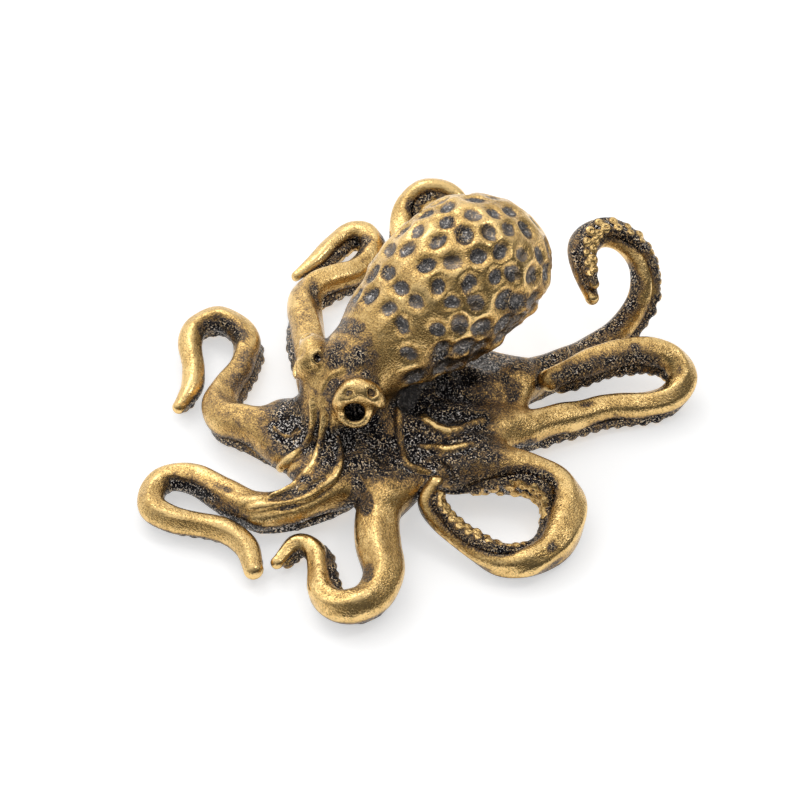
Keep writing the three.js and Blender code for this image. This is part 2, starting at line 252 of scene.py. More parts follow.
test_block = ([-1, -1, -1], [1, 1, 1])
test_ball = Clay(*test_block, 0.2)
cut, x, y, z = test_ball.block(*test_block)
test_ball.add(cut, np.sqrt(x ** 2 + y ** 2 + z ** 2) - 0.7, 0.1)
print("a test ball has", len(skin_of(test_ball)[1]), "quads")

# %% [markdown]
# ## Body and head
# The mantle is an egg that lies back over the arms, and the head is its narrow end. Both come from
# one list of upright ellipses along the body, which the frame uses as well, joined by a smooth run
# through the rows. The frame's numbers count from the middle of the body, so a small shift brings
# them to the middle of the footprint.

# %% Body
SHIFT = np.array([0.5, -0.25, 0])
SKIN_SPACING = 0.18
MARGIN = 1.2
NECK_Y = -3.8
BODY_X = -2.2
BODY_MELT = 1.2
BODY_BLOCK = ([-12, -16, 0], [9, 21, 24])
BODY_SAMPLES = 400
BODY_STATIONS = [
    [-12.6, 6.4, 1.2, 0.8], [-11.7, 6.9, 2.5, 2.1], [-10, 7.8, 3.5, 3.3], [-8, 8.8, 4, 3.8],
    [-6, 9.7, 4.3, 4.3], [NECK_Y, 10.6, 4.6, 4.9], [-1, 11.5, 5.8, 6], [2.5, 12.8, 7, 7.1],
    [6, 13.8, 7.7, 7.6], [9, 14.4, 7.8, 7.7], [12, 14.5, 7.3, 7.2], [14.8, 14.2, 6.2, 6.2],
    [16.8, 13.8, 4.5, 4.5], [18, 13.5, 2.4, 2.4], [18.5, 13.4, 0.1, 0.1],
]
PIECES = ["mantle", "head", "web", "eye_left", "eye_right"]


def smooth_rows(rows, t, closed=False):
    """A smooth run through rows of numbers, with t = 0 at the first row and 1 more at each next one."""
    rows = np.asarray(rows, float)
    count = len(rows)
    start = np.minimum(np.floor(t).astype(int), count - 1 if closed else count - 2)
    f = (t - start)[:, None]
    picks = [start + k for k in (-1, 0, 1, 2)]
    picks = [pick % count if closed else np.clip(pick, 0, count - 1) for pick in picks]
    before, here, there, after = (rows[pick] for pick in picks)
    leave, arrive, rise = (there - before) / 2, (after - here) / 2, there - here
    return here + f * (leave + f * (3 * rise - 2 * leave - arrive + f * (leave + arrive - 2 * rise)))


def body_rows():
    """The body's ellipses, close together: y, height of the axis, half width and half height."""
    return smooth_rows(BODY_STATIONS, np.linspace(0, len(BODY_STATIONS) - 1, BODY_SAMPLES))


def body_distance(x, y, z):
    """Distance to the body, from the ellipse at y and from how fast the body widens there."""
    rows = body_rows()
    level, wide, high = (np.interp(y, rows[:, 0], rows[:, k]) for k in (1, 2, 3))
    rising = rows[:, 0] + 1e-6 * np.arange(len(rows))
    widening = np.interp(y, rows[:, 0], np.gradient(rows[:, 2], rising))
    round_share = np.sqrt(((x - BODY_X) / wide) ** 2 + ((z - level) / high) ** 2)
    side = (round_share - 1) * np.minimum(wide, high) / np.sqrt(1 + widening ** 2)
    ends = np.maximum(y - BODY_STATIONS[-1][0], BODY_STATIONS[0][0] - y)
    return np.maximum(side, ends)


clay = Clay(np.array(cad_box[0]) / MM - MARGIN, np.array(cad_box[1]) / MM + MARGIN, SKIN_SPACING)
cut, x, y, z = clay.block(*BODY_BLOCK)
body = body_distance(x - SHIFT[0], y - SHIFT[1], z)
clay.add(cut, body, BODY_MELT, PIECES.index("mantle"))
clay.owner[cut][np.broadcast_to(y - SHIFT[1] < NECK_Y, body.shape)] = PIECES.index("head")
print("clay of", clay.depth.size, "points")

# %% [markdown]
# ## Web
# The web is the tent of skin between the arms, thin at the notches and hollow underneath. It is
# described round its centre: for every direction the rim has a distance, a top and an underside, and
# the top sags from the crown to the rim. It is melted to the head generously, as the wax was.

# %% Web
WEB_CENTRE = [-1.8, -6.5]
WEB_CROWN = 8.2
WEB_SAG = 1.2
WEB_CEILING = 4.4
WEB_MELT = 1.8
WEB_EDGE = 0.8
RIM_EDGE = 1.0
RIM_LEAN = 0.8
RIM_SAMPLES = 480
WEB_BLOCK = ([-16, -20, 0], [16, 15, 12])
WEB_RIM = [
    [12.5, 0.5, 6.3, 2.2], [10.5, 3.5, 5, 3.2],
    [9.5, 6.5, 5.2, 2.2], [8, 9, 4.5, 2.9],
    [5, 12, 5.4, 2.2], [-3, 10, 4.3, 2.8],
    [-9.5, 9.5, 5.1, 2.2], [-11.5, 3, 4.3, 2.8],
    [-12, -3, 5, 2.2], [-9, -8.5, 4.5, 2.9],
    [-7.5, -14, 5.3, 2.2], [-2.5, -15.5, 4.3, 2.8],
    [4, -15, 6, 2.2], [7, -13, 4.8, 3],
    [9.5, -12, 5.7, 2.2], [10.5, -7.5, 4.9, 3.1],
]


def web_rim(x, y):
    """The rim in the direction of each place: its distance, top and underside, and how far the place is."""
    rim = smooth_rows(WEB_RIM, np.linspace(0, len(WEB_RIM), RIM_SAMPLES, endpoint=False), closed=True)
    out = rim[:, :2] - WEB_CENTRE
    bearing = np.arctan2(out[:, 1], out[:, 0])
    order = np.argsort(bearing)
    here = np.arctan2(y - WEB_CENTRE[1], x - WEB_CENTRE[0])
    away = np.hypot(x - WEB_CENTRE[0], y - WEB_CENTRE[1])
    columns = (np.linalg.norm(out, axis=1), rim[:, 2], rim[:, 3])
    reach, top, under = (
        np.interp(here, bearing[order], values[order], period=2 * math.pi) for values in columns)
    return reach, top, under, away


def web_distance(x, y, z):
    """Distance to the web, from its top, its underside and its rim."""
    reach, height, low, away = web_rim(x, y)
    share = np.minimum(away / reach, 1)
    top = height + (WEB_CROWN - height) * (1 - share) ** WEB_SAG
    under = WEB_CEILING + (low - WEB_CEILING) * share ** 2
    skin = -smooth_min(top - z, z - under, WEB_EDGE)
    return -smooth_min(-skin, RIM_LEAN * (reach - away), RIM_EDGE)


cut, x, y, z = clay.block(*WEB_BLOCK)
clay.add(cut, web_distance(x - SHIFT[0], y - SHIFT[1], z), WEB_MELT, PIECES.index("web"))
print("web with", len(WEB_RIM) // 2, "arm roots")

# %% [markdown]
# ## Routes of the arms
# Each arm is rolled from wax and bent along its own route. A route lists place, radius and a turn that
# brings the suckers round to one side. Places and radii are the frame's own numbers; the turns follow
# what is seen of each band of suckers.

# %% Routes
ARM_ROUTES = {
    "left_1": [
        [7.5, -8.5, 3.8, 2.6, 0], [9.5, -12, 3.4, 2.35, 0], [12.5, -14.5, 2.9, 2.2, 0],
        [15.5, -16.5, 2.6, 2.1, 0], [17, -19.5, 2.4, 1.85, 10], [16, -22, 2.3, 1.6, 25],
        [13.5, -22.3, 2.1, 1.4, 55], [10.5, -20.5, 1.9, 1.25, 65], [8.3, -19.3, 1.9, 1.1, 45],
        [6.5, -20, 1.9, 1, -10], [7, -22.5, 1.7, 0.8, -35],
    ],
    "left_2": [
        [10, -2.5, 4.2, 2.5, 20], [12.5, 0.5, 4, 2.3, 60], [15, 2.9, 3.5, 2.1, 85],
        [18, 4, 2.8, 2.05, 85], [20.5, 3, 2.3, 2.05, 55], [22.8, -0.5, 1.9, 1.85, 40],
        [22.7, -4, 1.7, 1.55, 60], [21.1, -6.2, 1.7, 1.35, 105], [17.5, -7.2, 2, 1.2, 145],
        [14, -7.8, 2.8, 1.1, 140], [11.9, -7.7, 3.8, 1.05, 120], [11.4, -6.4, 4.9, 0.9, 105],
    ],
    "left_3": [
        [8, 1, 3.6, 2.3, 0], [9.5, 5.5, 3.3, 2, 0], [10.5, 10, 2.7, 1.75, 15],
        [12, 15, 2.3, 1.55, 20], [14, 18.5, 2.1, 1.45, 10], [15.3, 21.4, 2.3, 1.4, -5],
        [14.7, 23.8, 3.2, 1.5, -35], [12.5, 24, 4.2, 1.6, -65], [10.4, 21.7, 5, 1.65, -80],
        [9, 18.2, 5.3, 1.6, -80], [8.2, 15, 5.2, 1.5, -80], [7.5, 12.5, 4.8, 1.25, -75],
    ],
    "left_4": [
        [4, 7.5, 3.5, 2.4, 0], [4.7, 14, 2.8, 2, 10], [5.2, 19.8, 2.4, 1.7, 15],
        [5.6, 23.7, 3.8, 1.5, 20], [5.3, 26.5, 6.2, 1.3, 35], [3.3, 28, 8.5, 1.2, 65],
        [0.5, 27.7, 9.9, 1.3, 100], [-1.2, 26.2, 10.4, 1.5, 125], [-1, 24, 10.1, 1.5, 140],
        [1, 22.2, 9.2, 1.2, 140], [3.5, 21.2, 8.2, 0.75, 140],
    ],
    "right_4": [
        [-3.5, 6.5, 3.1, 2.3, 0], [-10.5, 10.3, 3.1, 2, 0], [-17, 14, 2.5, 1.75, 20],
        [-20.8, 16.5, 3.2, 1.5, 60], [-22.3, 18.3, 4.3, 1.3, 85], [-22.3, 20.2, 5.2, 1.1, 95],
        [-21, 22, 5.5, 0.95, 95], [-19, 22.7, 5.1, 0.8, 90], [-17.3, 22.5, 4.3, 0.55, 80],
    ],
    "right_3": [
        [-3, -6, 4.2, 2.4, 0], [-8.5, -4.5, 3.7, 2.1, -25], [-13.5, -2, 3, 1.9, -45],
        [-18, 1, 2.5, 1.8, -20], [-20.2, 3.5, 2.4, 1.7, 15], [-20, 6.5, 2.3, 1.6, 25],
        [-19.7, 9.2, 2.2, 1.45, 10], [-21, 12.5, 2.2, 1.4, -15], [-23.2, 13.6, 2.2, 1.3, -35],
        [-24.6, 12.3, 2.1, 1.2, -50], [-24.3, 9.7, 2, 1.1, -60], [-23.7, 7, 1.8, 0.95, -55],
        [-23.6, 4.7, 1.5, 0.7, -40],
    ],
    "right_2": [
        [-2.5, -12.5, 3.3, 2.5, 0], [-7.7, -14, 3.3, 2.2, -15], [-10.7, -15, 2.8, 2, -10],
        [-13, -14.2, 2.6, 1.85, 10], [-14.7, -11.8, 2.3, 1.65, 25], [-16.2, -8.8, 2.1, 1.4, 30],
        [-18.4, -6.3, 2.1, 1.4, 20], [-20.8, -5.6, 2.2, 1.4, 0], [-23.1, -6.3, 2.2, 1.35, 0],
        [-23.8, -8.5, 2.1, 1.3, 0], [-22.2, -10.8, 2, 1.25, 0], [-19.2, -12.7, 1.9, 1.2, 0],
        [-17.3, -14.4, 1.7, 1.05, 0], [-16.3, -16.7, 1.5, 0.8, 0],
    ],
    "right_1": [
        [4, -11.5, 3.6, 2.6, 0], [3.8, -15, 3.6, 2.4, -10], [2.7, -18.3, 3.1, 2.1, -10],
        [0.7, -20.9, 2.7, 1.95, 10], [-3, -21.7, 2.4, 1.75, 25], [-6.4, -22.4, 2.2, 1.55, 30],
        [-8.4, -24, 2.1, 1.4, 20], [-8.3, -26.3, 2, 1.35, 0], [-6.4, -27.8, 2, 1.35, -20],
        [-4, -27.3, 1.9, 1.3, -25], [-1.6, -25.6, 1.9, 1.25, -25], [1, -24.1, 1.9, 1.25, -25],
        [3.6, -23.9, 1.8, 1.2, -25], [6, -25, 1.6, 1, -20],
    ],
}
PIECES += [f"arm_{name}" for name in ARM_ROUTES]
print("arms:", ", ".join(ARM_ROUTES))

# %% [markdown]
# ## Stations along an arm
# A smooth curve through the route is cut into close, even steps, the stations. A frame of reference is
# carried along it without twisting, and the turn is added to it, so the flat belly stays where the turn
# puts it.

# %% Stations
ROUTE_SAMPLES = 24
ARM_STEP = 0.25


def at_lengths(values, lengths, marks):
    """Rows of numbers that are known at some lengths along an arm, worked out at other lengths."""
    return np.stack([np.interp(marks, lengths, column) for column in values.T], axis=1)


def arm_stations(route, step):
    """Places at even steps along an arm, with its back, its side, its radius and the length so far."""
    fine = smooth_rows(route, np.linspace(0, len(route) - 1, ROUTE_SAMPLES * (len(route) - 1) + 1))
    places = fine[:, :3] + SHIFT
    gaps = np.linalg.norm(np.diff(places, axis=0), axis=1)
    lengths = np.concatenate([[0], np.cumsum(gaps)])
    along = unit(np.gradient(places, axis=0))
    backs = []
    back = np.array([0, 0, 1.0])
    for direction in along:
        back = unit(back - back.dot(direction) * direction)
        backs.append(back)
    turn = np.radians(-fine[:, 4:5])
    dorsal = np.array(backs) * np.cos(turn) + np.cross(along, backs) * np.sin(turn)
    marks = np.linspace(0, lengths[-1], int(round(lengths[-1] / step)) + 1)
    centre, along, dorsal, radius = (
        at_lengths(values, lengths, marks) for values in (places, along, dorsal, fine[:, 3:4]))
    return {
        "centre": centre, "along": along, "dorsal": dorsal, "side": np.cross(along, dorsal),
        "radius": radius[:, 0], "length": marks,
    }


arm_lengths = [arm_stations(route, ARM_STEP)["length"][-1] for route in ARM_ROUTES.values()]
print("arm lengths in mm:", np.round(arm_lengths, 1))

# %% [markdown]
# ## Arms
# The wax is flattened on the belly of the arm and filed to a soft ridge along its back. A section with
# these forms is swept along the stations, scaled by the radius. Near the web the arm is melted in
# broadly, further out hardly at all, so that arms which pass close to each other stay apart.

# %% Arms
BELLY_LEVEL = 0.72
BELLY_EDGE = 0.35
FLAT_LEVEL = 0.89
FLAT_TILT = math.radians(34)
FLAT_EDGE = 0.12
ROOT_MELT = 1.3
FREE_MELT = 0.12
ROOT_LENGTH = 9.0


def swept(clay, stations, reach, section):
    """Sweeps a section along an arm: each grid point takes the distance given by its nearest station."""
    centres = stations["centre"]
    cut, x, y, z = clay.block(centres.min(0) - reach.max(), centres.max(0) + reach.max())
    shape = (x.size, y.size, z.size)
    nearest = np.full(shape, FAR * FAR, np.float32)
    distance = np.full(shape, FAR, np.float32)
    length = np.zeros(shape, np.float32)
    corner = np.array([x.flat[0], y.flat[0], z.flat[0]])
    for i, centre in enumerate(centres):
        first = np.clip(np.floor((centre - reach[i] - corner) / clay.spacing).astype(int), 0, shape)
        last = np.clip(np.ceil((centre + reach[i] - corner) / clay.spacing).astype(int) + 1, 0, shape)
        part = tuple(slice(a, b) for a, b in zip(first, last))
        offset = (x[part[0]] - centre[0], y[:, part[1]] - centre[1], z[:, :, part[2]] - centre[2])
        gap = offset[0] ** 2 + offset[1] ** 2 + offset[2] ** 2
        closer = gap < nearest[part]
        across, up, ahead = (
            sum(o * d for o, d in zip(offset, stations[key][i])) for key in ("side", "dorsal", "along"))
        over = np.maximum(np.abs(ahead) - ARM_STEP, 0)
        nearest[part] = np.where(closer, gap, nearest[part])
        distance[part] = np.where(closer, section(across, up, over, i), distance[part])
        length[part] = np.where(closer, stations["length"][i], length[part])
    return cut, distance, length


def add_arm(name, route):
    """Melts one arm onto the clay."""
    stations = arm_stations(route, ARM_STEP)

    def section(across, up, over, i):
        """Distance to the arm's section: round, filed to a ridge on its back and flat on its belly."""
        radius = stations["radius"][i]
        rounded = np.sqrt(across ** 2 + up ** 2 + over ** 2) - radius
        filed = np.abs(across) * math.sin(FLAT_TILT) + up * math.cos(FLAT_TILT) - FLAT_LEVEL * radius
        back = -smooth_min(-rounded, -filed, FLAT_EDGE * radius)
        return -smooth_min(-back, up + BELLY_LEVEL * radius, BELLY_EDGE * radius)

    cut, distance, length = swept(clay, stations, stations["radius"] + MARGIN, section)
    free = np.clip(length / ROOT_LENGTH, 0, 1) ** 2
    clay.add(cut, distance, ROOT_MELT + (FREE_MELT - ROOT_MELT) * free, PIECES.index(f"arm_{name}"))


for name, route in ARM_ROUTES.items():
    add_arm(name, route)

reach, _, _, away = web_rim(clay.ticks[0][:, None] - SHIFT[0], clay.ticks[1][None, :] - SHIFT[1])
roots = (clay.owner >= PIECES.index("arm_left_1")) & (away < reach)[:, :, None]
clay.owner[roots] = PIECES.index("web")
print("arms on the web:", len(ARM_ROUTES))

# %% [markdown]
# ## Eyes
# An eye is a round mound with a deep pupil. A thin lid runs round the pupil and a thick brow lies over
# it, with a small pit and a shallow dent. All of them are round forms about the line of sight, so one
# small frame of reference, with an axis along the gaze, serves for both eyes.

# %% Eyes
FACE_X = -1.6
EYE_SPREAD = 2.7
EYE_Y = -7.9
EYE_Z = 10
EYE_RADIUS = 2.4
EYE_GAZE = [0.68, -0.62, 0.39]
EYE_FACE = 2.05
EYE_MELT = 0.9
PUPIL_RADIUS = 0.98
PUPIL_DEPTH = 1.7
PUPIL_DROP = 0.4
PUPIL_EDGE = 0.25
LID_RADIUS = 1.42
LID_THICKNESS = 0.4
LID_MELT = 0.4
BROW_RADIUS = 1.3
BROW_RISE = 1.65
BROW_HALF_LENGTH = 1.4
BROW_SHIFT = 0.4
BROW_BEND = 0.18
BROW_SINK = 0.35
BROW_MELT = 0.55
BROW_PITS = [[0.5, 1.3, 1.9, 0.6], [0.9, -1.1, 2.0, 1.4]]
BROW_PIT_EDGE = 0.2


def add_eye(name, side):
    """Melts an eye onto the head and carves its pupil; side is 1 for the left eye, -1 for the right."""
    centre = np.array([FACE_X + side * EYE_SPREAD, EYE_Y, EYE_Z]) + SHIFT
    gaze = unit(np.array([side * EYE_GAZE[0], EYE_GAZE[1], EYE_GAZE[2]]))
    level = unit(np.cross([0, 0, 1.0], gaze))
    lift = np.cross(gaze, level)
    reach = EYE_RADIUS + MARGIN
    cut, x, y, z = clay.block(centre - reach, centre + reach)
    offset = (x - centre[0], y - centre[1], z - centre[2])
    out, across, up = (sum(o * d for o, d in zip(offset, axis)) for axis in (gaze, level, lift))
    owner = PIECES.index(name)
    mound = np.sqrt(out ** 2 + across ** 2 + up ** 2) - EYE_RADIUS
    clay.add(cut, mound, EYE_MELT, owner)

    drop = up + PUPIL_DROP
    ring = np.hypot(np.hypot(across, drop) - LID_RADIUS, out - EYE_FACE)
    clay.add(cut, ring - LID_THICKNESS, LID_MELT, owner)
    along = across - side * BROW_SHIFT
    stretch = np.maximum(np.abs(along) - BROW_HALF_LENGTH, 0)
    rise = up - BROW_RISE + BROW_BEND * along ** 2
    brow = np.sqrt(stretch ** 2 + rise ** 2 + (out - EYE_FACE + BROW_SINK) ** 2)
    clay.add(cut, brow - BROW_RADIUS, BROW_MELT, owner)

    shaft = np.maximum(np.hypot(across, drop) - PUPIL_RADIUS, EYE_RADIUS - PUPIL_DEPTH - out)
    clay.carve(cut, shaft, PUPIL_EDGE)
    for radius, aside, high, ahead in BROW_PITS:
        pit = np.sqrt((along - side * aside) ** 2 + (up - high) ** 2 + (out - EYE_FACE - ahead) ** 2)
        clay.carve(cut, pit - radius, BROW_PIT_EDGE)


add_eye("eye_left", 1)
add_eye("eye_right", -1)
print("two eyes of", 2 * EYE_RADIUS, "mm")

# %% [markdown]
# ## Folds of the web
# Raised folds run from the face down the web, with a furrow on each side and broad hollows between. On
# the wax they are thin threads, pressed on and smoothed at their feet. They are drawn as lines on the
# picture plane, in millimetres from the point that the camera looks at, and pushed along the view until
# they meet the clay. The clay then swells along each line, so a fold lies on the skin from whatever side
# it is seen. Each row below holds a height, a width and a line.

# %% Folds
FOLDS = [
    [0.55, 0.27, [[-9.0, 0.7], [-8.8, -2.2], [-9.5, -4.4], [-11.4, -6.2], [-13.1, -8.2], [-14.2, -8.8]]],
    [0.55, 0.27, [[-7.6, -1.4], [-7.9, -3.7], [-8.6, -6.2], [-9.9, -7.7], [-11.2, -8.6], [-12.9, -9.4]]],
    [0.55, 0.27, [[-6.1, -3.7], [-5.9, -5.9], [-6.5, -7.6], [-7.9, -8.8], [-9.9, -9.9], [-15, -10.8]]],
    [0.4, 0.22, [[-12.6, -2.7], [-11.4, -3.6], [-9.9, -3.1]]],
    [0.5, 0.28, [[-0.2, -0.6], [-0.1, -2.4], [0.2, -4.8], [0.8, -6.4], [2.9, -7.2]]],
    [0.6, 0.34, [[1.9, -0.8], [2.6, -1.9], [4.2, -2.9], [5.6, -2.9], [8.2, -1.9]]],
    [0.55, 0.3, [[1.7, -4.5], [3.5, -4.7], [5.1, -4.9], [7.2, -4.4]]],
    [0.3, 0.22, [[-8.0, 1.0], [-7.0, 2.4], [-5.7, 3.0]]],
]
HOLLOWS = [
    [0.5, 1.0, [[3.0, -0.6], [4.5, -1.6], [6.5, -1.4]]],
    [0.35, 0.8, [[1.6, -2.6], [3.0, -3.8], [5.5, -3.9]]],
    [0.3, 0.7, [[-3.4, -4.6], [-2.2, -5.4], [-1.2, -6.4]]],
    [0.9, 1.3, [[-10.8, 1.4], [-10.6, 0], [-10.2, -1.6]]],
]
FAR_PIT = [0.5, 0.2, [[-8.3, 4.2], [-8.2, 4.3]]]
FAR_PIT_REACH = 2
FAR_PIT_LIFT = 0.1
FAR_PIT_MELT = 0.3
FAR_PIT_EDGE = 0.15
LINE_SAMPLES = 25
VIEW_SEARCH = 30
FOLD_REACH = 4
FOLD_FADE = 12
FURROW_DEPTH = 0.3
FURROW_PLACE = 2.1
picture_right = np.array([math.cos(CAMERA_AZIMUTH), math.sin(CAMERA_AZIMUTH), 0])
picture_up = np.cross(towards_camera, picture_right)


def onto_clay(line):
    """Points of a line on the picture plane, pushed along the view until they meet the clay."""
    rows = smooth_rows(line, np.linspace(0, len(line) - 1, LINE_SAMPLES * (len(line) - 1)))
    target = np.array(LOOK_AT) / MM
    eye = np.array(camera.location) / MM
    rays = unit(target + rows[:, :1] * picture_right + rows[:, 1:] * picture_up - eye)
    travel = CAMERA_DISTANCE / MM + np.arange(-VIEW_SEARCH, VIEW_SEARCH, clay.spacing / 2)
    track = eye + travel[None, :, None] * rays[:, None, :]
    filled = clay.depth[clay.cells_of(track.reshape(-1, 3))].reshape(track.shape[:2]) < 0
    return clay.snap(track[np.arange(len(rows)), filled.argmax(axis=1)])


def swell(height, width, line):
    """Raises the clay along a line, with a furrow on each side; a negative height makes a hollow.

    Returns the crest of the line.
    """
    places = onto_clay(line)
    reach = FOLD_REACH * width
    cut, x, y, z = clay.block(places.min(0) - reach, places.max(0) + reach)
    gap = np.full((x.size, y.size, z.size), FAR * FAR, np.float32)
    ends = np.minimum(np.arange(len(places)), np.arange(len(places))[::-1]) / FOLD_FADE
    for (px, py, pz), fade in zip(places, np.clip(ends, 0, 1)):
        np.minimum(gap, (x - px) ** 2 + (y - py) ** 2 + (z - pz) ** 2 + (1 - fade) * width ** 2, out=gap)
    gap = np.sqrt(gap) / width
    furrow = FURROW_DEPTH * np.exp(-(gap - FURROW_PLACE) ** 2) if height > 0 else 0
    clay.depth[cut] -= height * (np.exp(-gap ** 2) - furrow)
    return places + height * clay.slope(places)


def rimmed_pit(radius, rim, line):
    """A small pit with a raised rim at the start of a line, on the eye that looks away."""
    place = onto_clay(line)[:1]
    outward = clay.slope(place)[0]
    cut, x, y, z = clay.block(place[0] - FAR_PIT_REACH, place[0] + FAR_PIT_REACH)
    offset = (x - place[0, 0], y - place[0, 1], z - place[0, 2])
    out = sum(o * d for o, d in zip(offset, outward))
    away = np.sqrt(np.maximum(sum(o * o for o in offset) - out ** 2, 0))
    raised = np.hypot(away - radius - rim / 2, out) - rim
    clay.add(cut, raised, FAR_PIT_MELT, PIECES.index("eye_right"))
    clay.carve(cut, np.hypot(away, out - FAR_PIT_LIFT) - radius, FAR_PIT_EDGE)


for height, width, line in HOLLOWS:
    swell(-height, width, line)
rimmed_pit(*FAR_PIT)
fold_crests = [swell(height, width, line) for height, width, line in FOLDS]
print(len(FOLDS), "folds and", len(HOLLOWS), "hollows on the web")

# %% [markdown]
# ## Dimples of the mantle
# The mantle is covered with oval dimples in staggered rows, as if pressed with a spoon tool by hand. The
# rows follow the body's ellipses, low on the flanks and round the tail end, and leave the belly bare.
# Each dimple has a size of its own, a little larger low on the flanks, and is drawn out in a direction
# of its own. First come the places; the clay pulls each one onto its skin.

# %% Dimple places
DIMPLE_RADIUS = 0.86
DIMPLE_DEPTH = 0.5
DIMPLE_PITCH = 2.7
DIMPLE_ROW_STEP = 2.3
FIRST_ROW = -1.8
LAST_ROW = 17.5
TAIL_ROW = 18.1
DIMPLE_ROWS = np.append(np.arange(FIRST_ROW, LAST_ROW, DIMPLE_ROW_STEP), TAIL_ROW)
MANTLE_TOP = 1.1
FLANK_LEVEL = -0.4
BARE_BELLY = -0.85
FLANK_GROWTH = 0.6
DIMPLE_SIZES = (0.92, 1.1)
DIMPLE_JITTER = 0.2


def dimple_places(lowest, highest, seed):
    """Places on the mantle between two levels of its ellipses and a size for each, row by row."""
    rows = body_rows()
    draw = np.random.default_rng(seed)
    places = []
    sizes = []
    for row, y in enumerate(DIMPLE_ROWS):
        level, wide, high = (np.interp(y, rows[:, 0], rows[:, k]) for k in (1, 2, 3))
        count = int(round(math.pi * (wide + high) / DIMPLE_PITCH))
        turns = 2 * math.pi * (np.arange(count) + 0.5 * (row % 2)) / count
        turns = turns[(np.sin(turns) >= lowest) & (np.sin(turns) < highest)]
        ring = np.stack([
            BODY_X + wide * np.cos(turns), np.full(len(turns), y), level + high * np.sin(turns)], axis=1)
        places.append(ring + draw.normal(0, DIMPLE_JITTER, ring.shape))
        flank = np.clip(0.5 - np.sin(turns), 0, 1)
        sizes.append((1 + FLANK_GROWTH * flank) * draw.uniform(*DIMPLE_SIZES, len(turns)))
    return np.concatenate(places) + SHIFT, np.concatenate(sizes)


upper, upper_sizes = dimple_places(FLANK_LEVEL, MANTLE_TOP, seed=8)
lower, lower_sizes = dimple_places(BARE_BELLY, FLANK_LEVEL, seed=9)
dimples = clay.snap(np.concatenate([upper, lower]))
dimple_sizes = np.concatenate([upper_sizes, lower_sizes])
dimple_tops = clay.slope(dimples)
dimple_ways = unit(np.cross(dimple_tops, np.random.default_rng(6).normal(size=dimples.shape)))
print(len(dimples), "dimples in", len(DIMPLE_ROWS), "rows")

# %% [markdown]
# ## Net between the dimples
# Pressing a dimple pushes the wax up beside it, so the metal between the dimples stands up in a faint net
# of ridges. The net rises where the two nearest dimples are equally far away. Only grid points near the
# mantle's skin are worked on, which keeps this quick.

# %% Net
NET_HEIGHT = 0.11
NET_WIDTH = 0.7
NET_REACH = 1.5
MANTLE_BLOCK = ([-11, -6, 4], [8, 21, 24])


def raise_net():
    """Raises the clay between the dimples, and returns how many grid points were worked on."""
    cut, x, y, z = clay.block(*MANTLE_BLOCK)
    mantle = clay.owner[cut] == PIECES.index("mantle")
    near_skin = np.argwhere((np.abs(clay.depth[cut]) < NET_REACH) & mantle)
    points = np.stack([
        tick.ravel()[near_skin[:, axis]] for axis, tick in enumerate((x, y, z))], axis=1)
    first = np.full(len(points), FAR, np.float32)
    second = first.copy()
    for place in dimples.astype(np.float32):
        gap = np.linalg.norm(points - place, axis=1)
        second = np.minimum(second, np.maximum(first, gap))
        first = np.minimum(first, gap)
    net = NET_HEIGHT * np.exp(-(second - first) / NET_WIDTH) * (first < DIMPLE_PITCH)
    clay.depth[cut][tuple(near_skin.T)] -= net
    return len(points)


print("net over", raise_net(), "grid points")

# %% [markdown]
# ## Carving the dimples
# A ball that is large enough to leave a shallow dish is sunk into the clay at each place. Distances are
# shortened along the dimple's own direction, which draws the ball out into an egg and the dish into an
# oval, and the rim is rounded by melting.

# %% Carve the dimples
DIMPLE_STRETCH = 0.4
DIMPLE_EDGE = 0.4
DIMPLE_MARGIN = 0.5


def carve_dimple(place, size, outward, way):
    """Sinks one dimple into the clay, drawn out along its way."""
    radius = DIMPLE_RADIUS * size
    depth = DIMPLE_DEPTH * size
    ball = (radius ** 2 + depth ** 2) / (2 * depth)
    centre = place + outward * (ball - depth)
    cut, x, y, z = clay.block(centre - ball - DIMPLE_MARGIN, centre + ball + DIMPLE_MARGIN)
    offset = (x - centre[0], y - centre[1], z - centre[2])
    aslant = sum(o * d for o, d in zip(offset, way))
    gap = np.sqrt(sum(o * o for o in offset) - DIMPLE_STRETCH * aslant ** 2)
    clay.carve(cut, gap - ball, DIMPLE_EDGE)


for dimple in zip(dimples, dimple_sizes, dimple_tops, dimple_ways):
    carve_dimple(*dimple)
print("dimples about", 2 * DIMPLE_RADIUS, "mm across and", DIMPLE_DEPTH, "mm deep")

# %% [markdown]
# ## Skin in pieces
# The clay is trimmed flat at the ground and drawn as one skin, which is made slightly uneven, as hand
# work is. The skin is then split into the frame's pieces, so that each stays a part of its own: every
# vertex knows which form its clay came from, a vote among neighbours straightens the borders, and each
# open end is closed by a cap inside the metal. All pieces keep the normals of the whole skin, so no
# seam shows.

# %% Split the skin
VOTES = 12
SKIN_ROUNDS = 2
WAVES = 9
WAVE_HEIGHT = 0.03
WAVE_LENGTHS = (3.5, 8)
FLAT_FOOT = 0.3


def uneven(points):
    """A sum of slow waves in many directions, in millimetres."""
    draw = np.random.default_rng(3)
    total = np.zeros(len(points))
    for _ in range(WAVES):
        way = unit(draw.normal(size=3)) * 2 * math.pi / draw.uniform(*WAVE_LENGTHS)
        total += np.sin(points @ way + draw.uniform(0, 2 * math.pi))
    return WAVE_HEIGHT * total


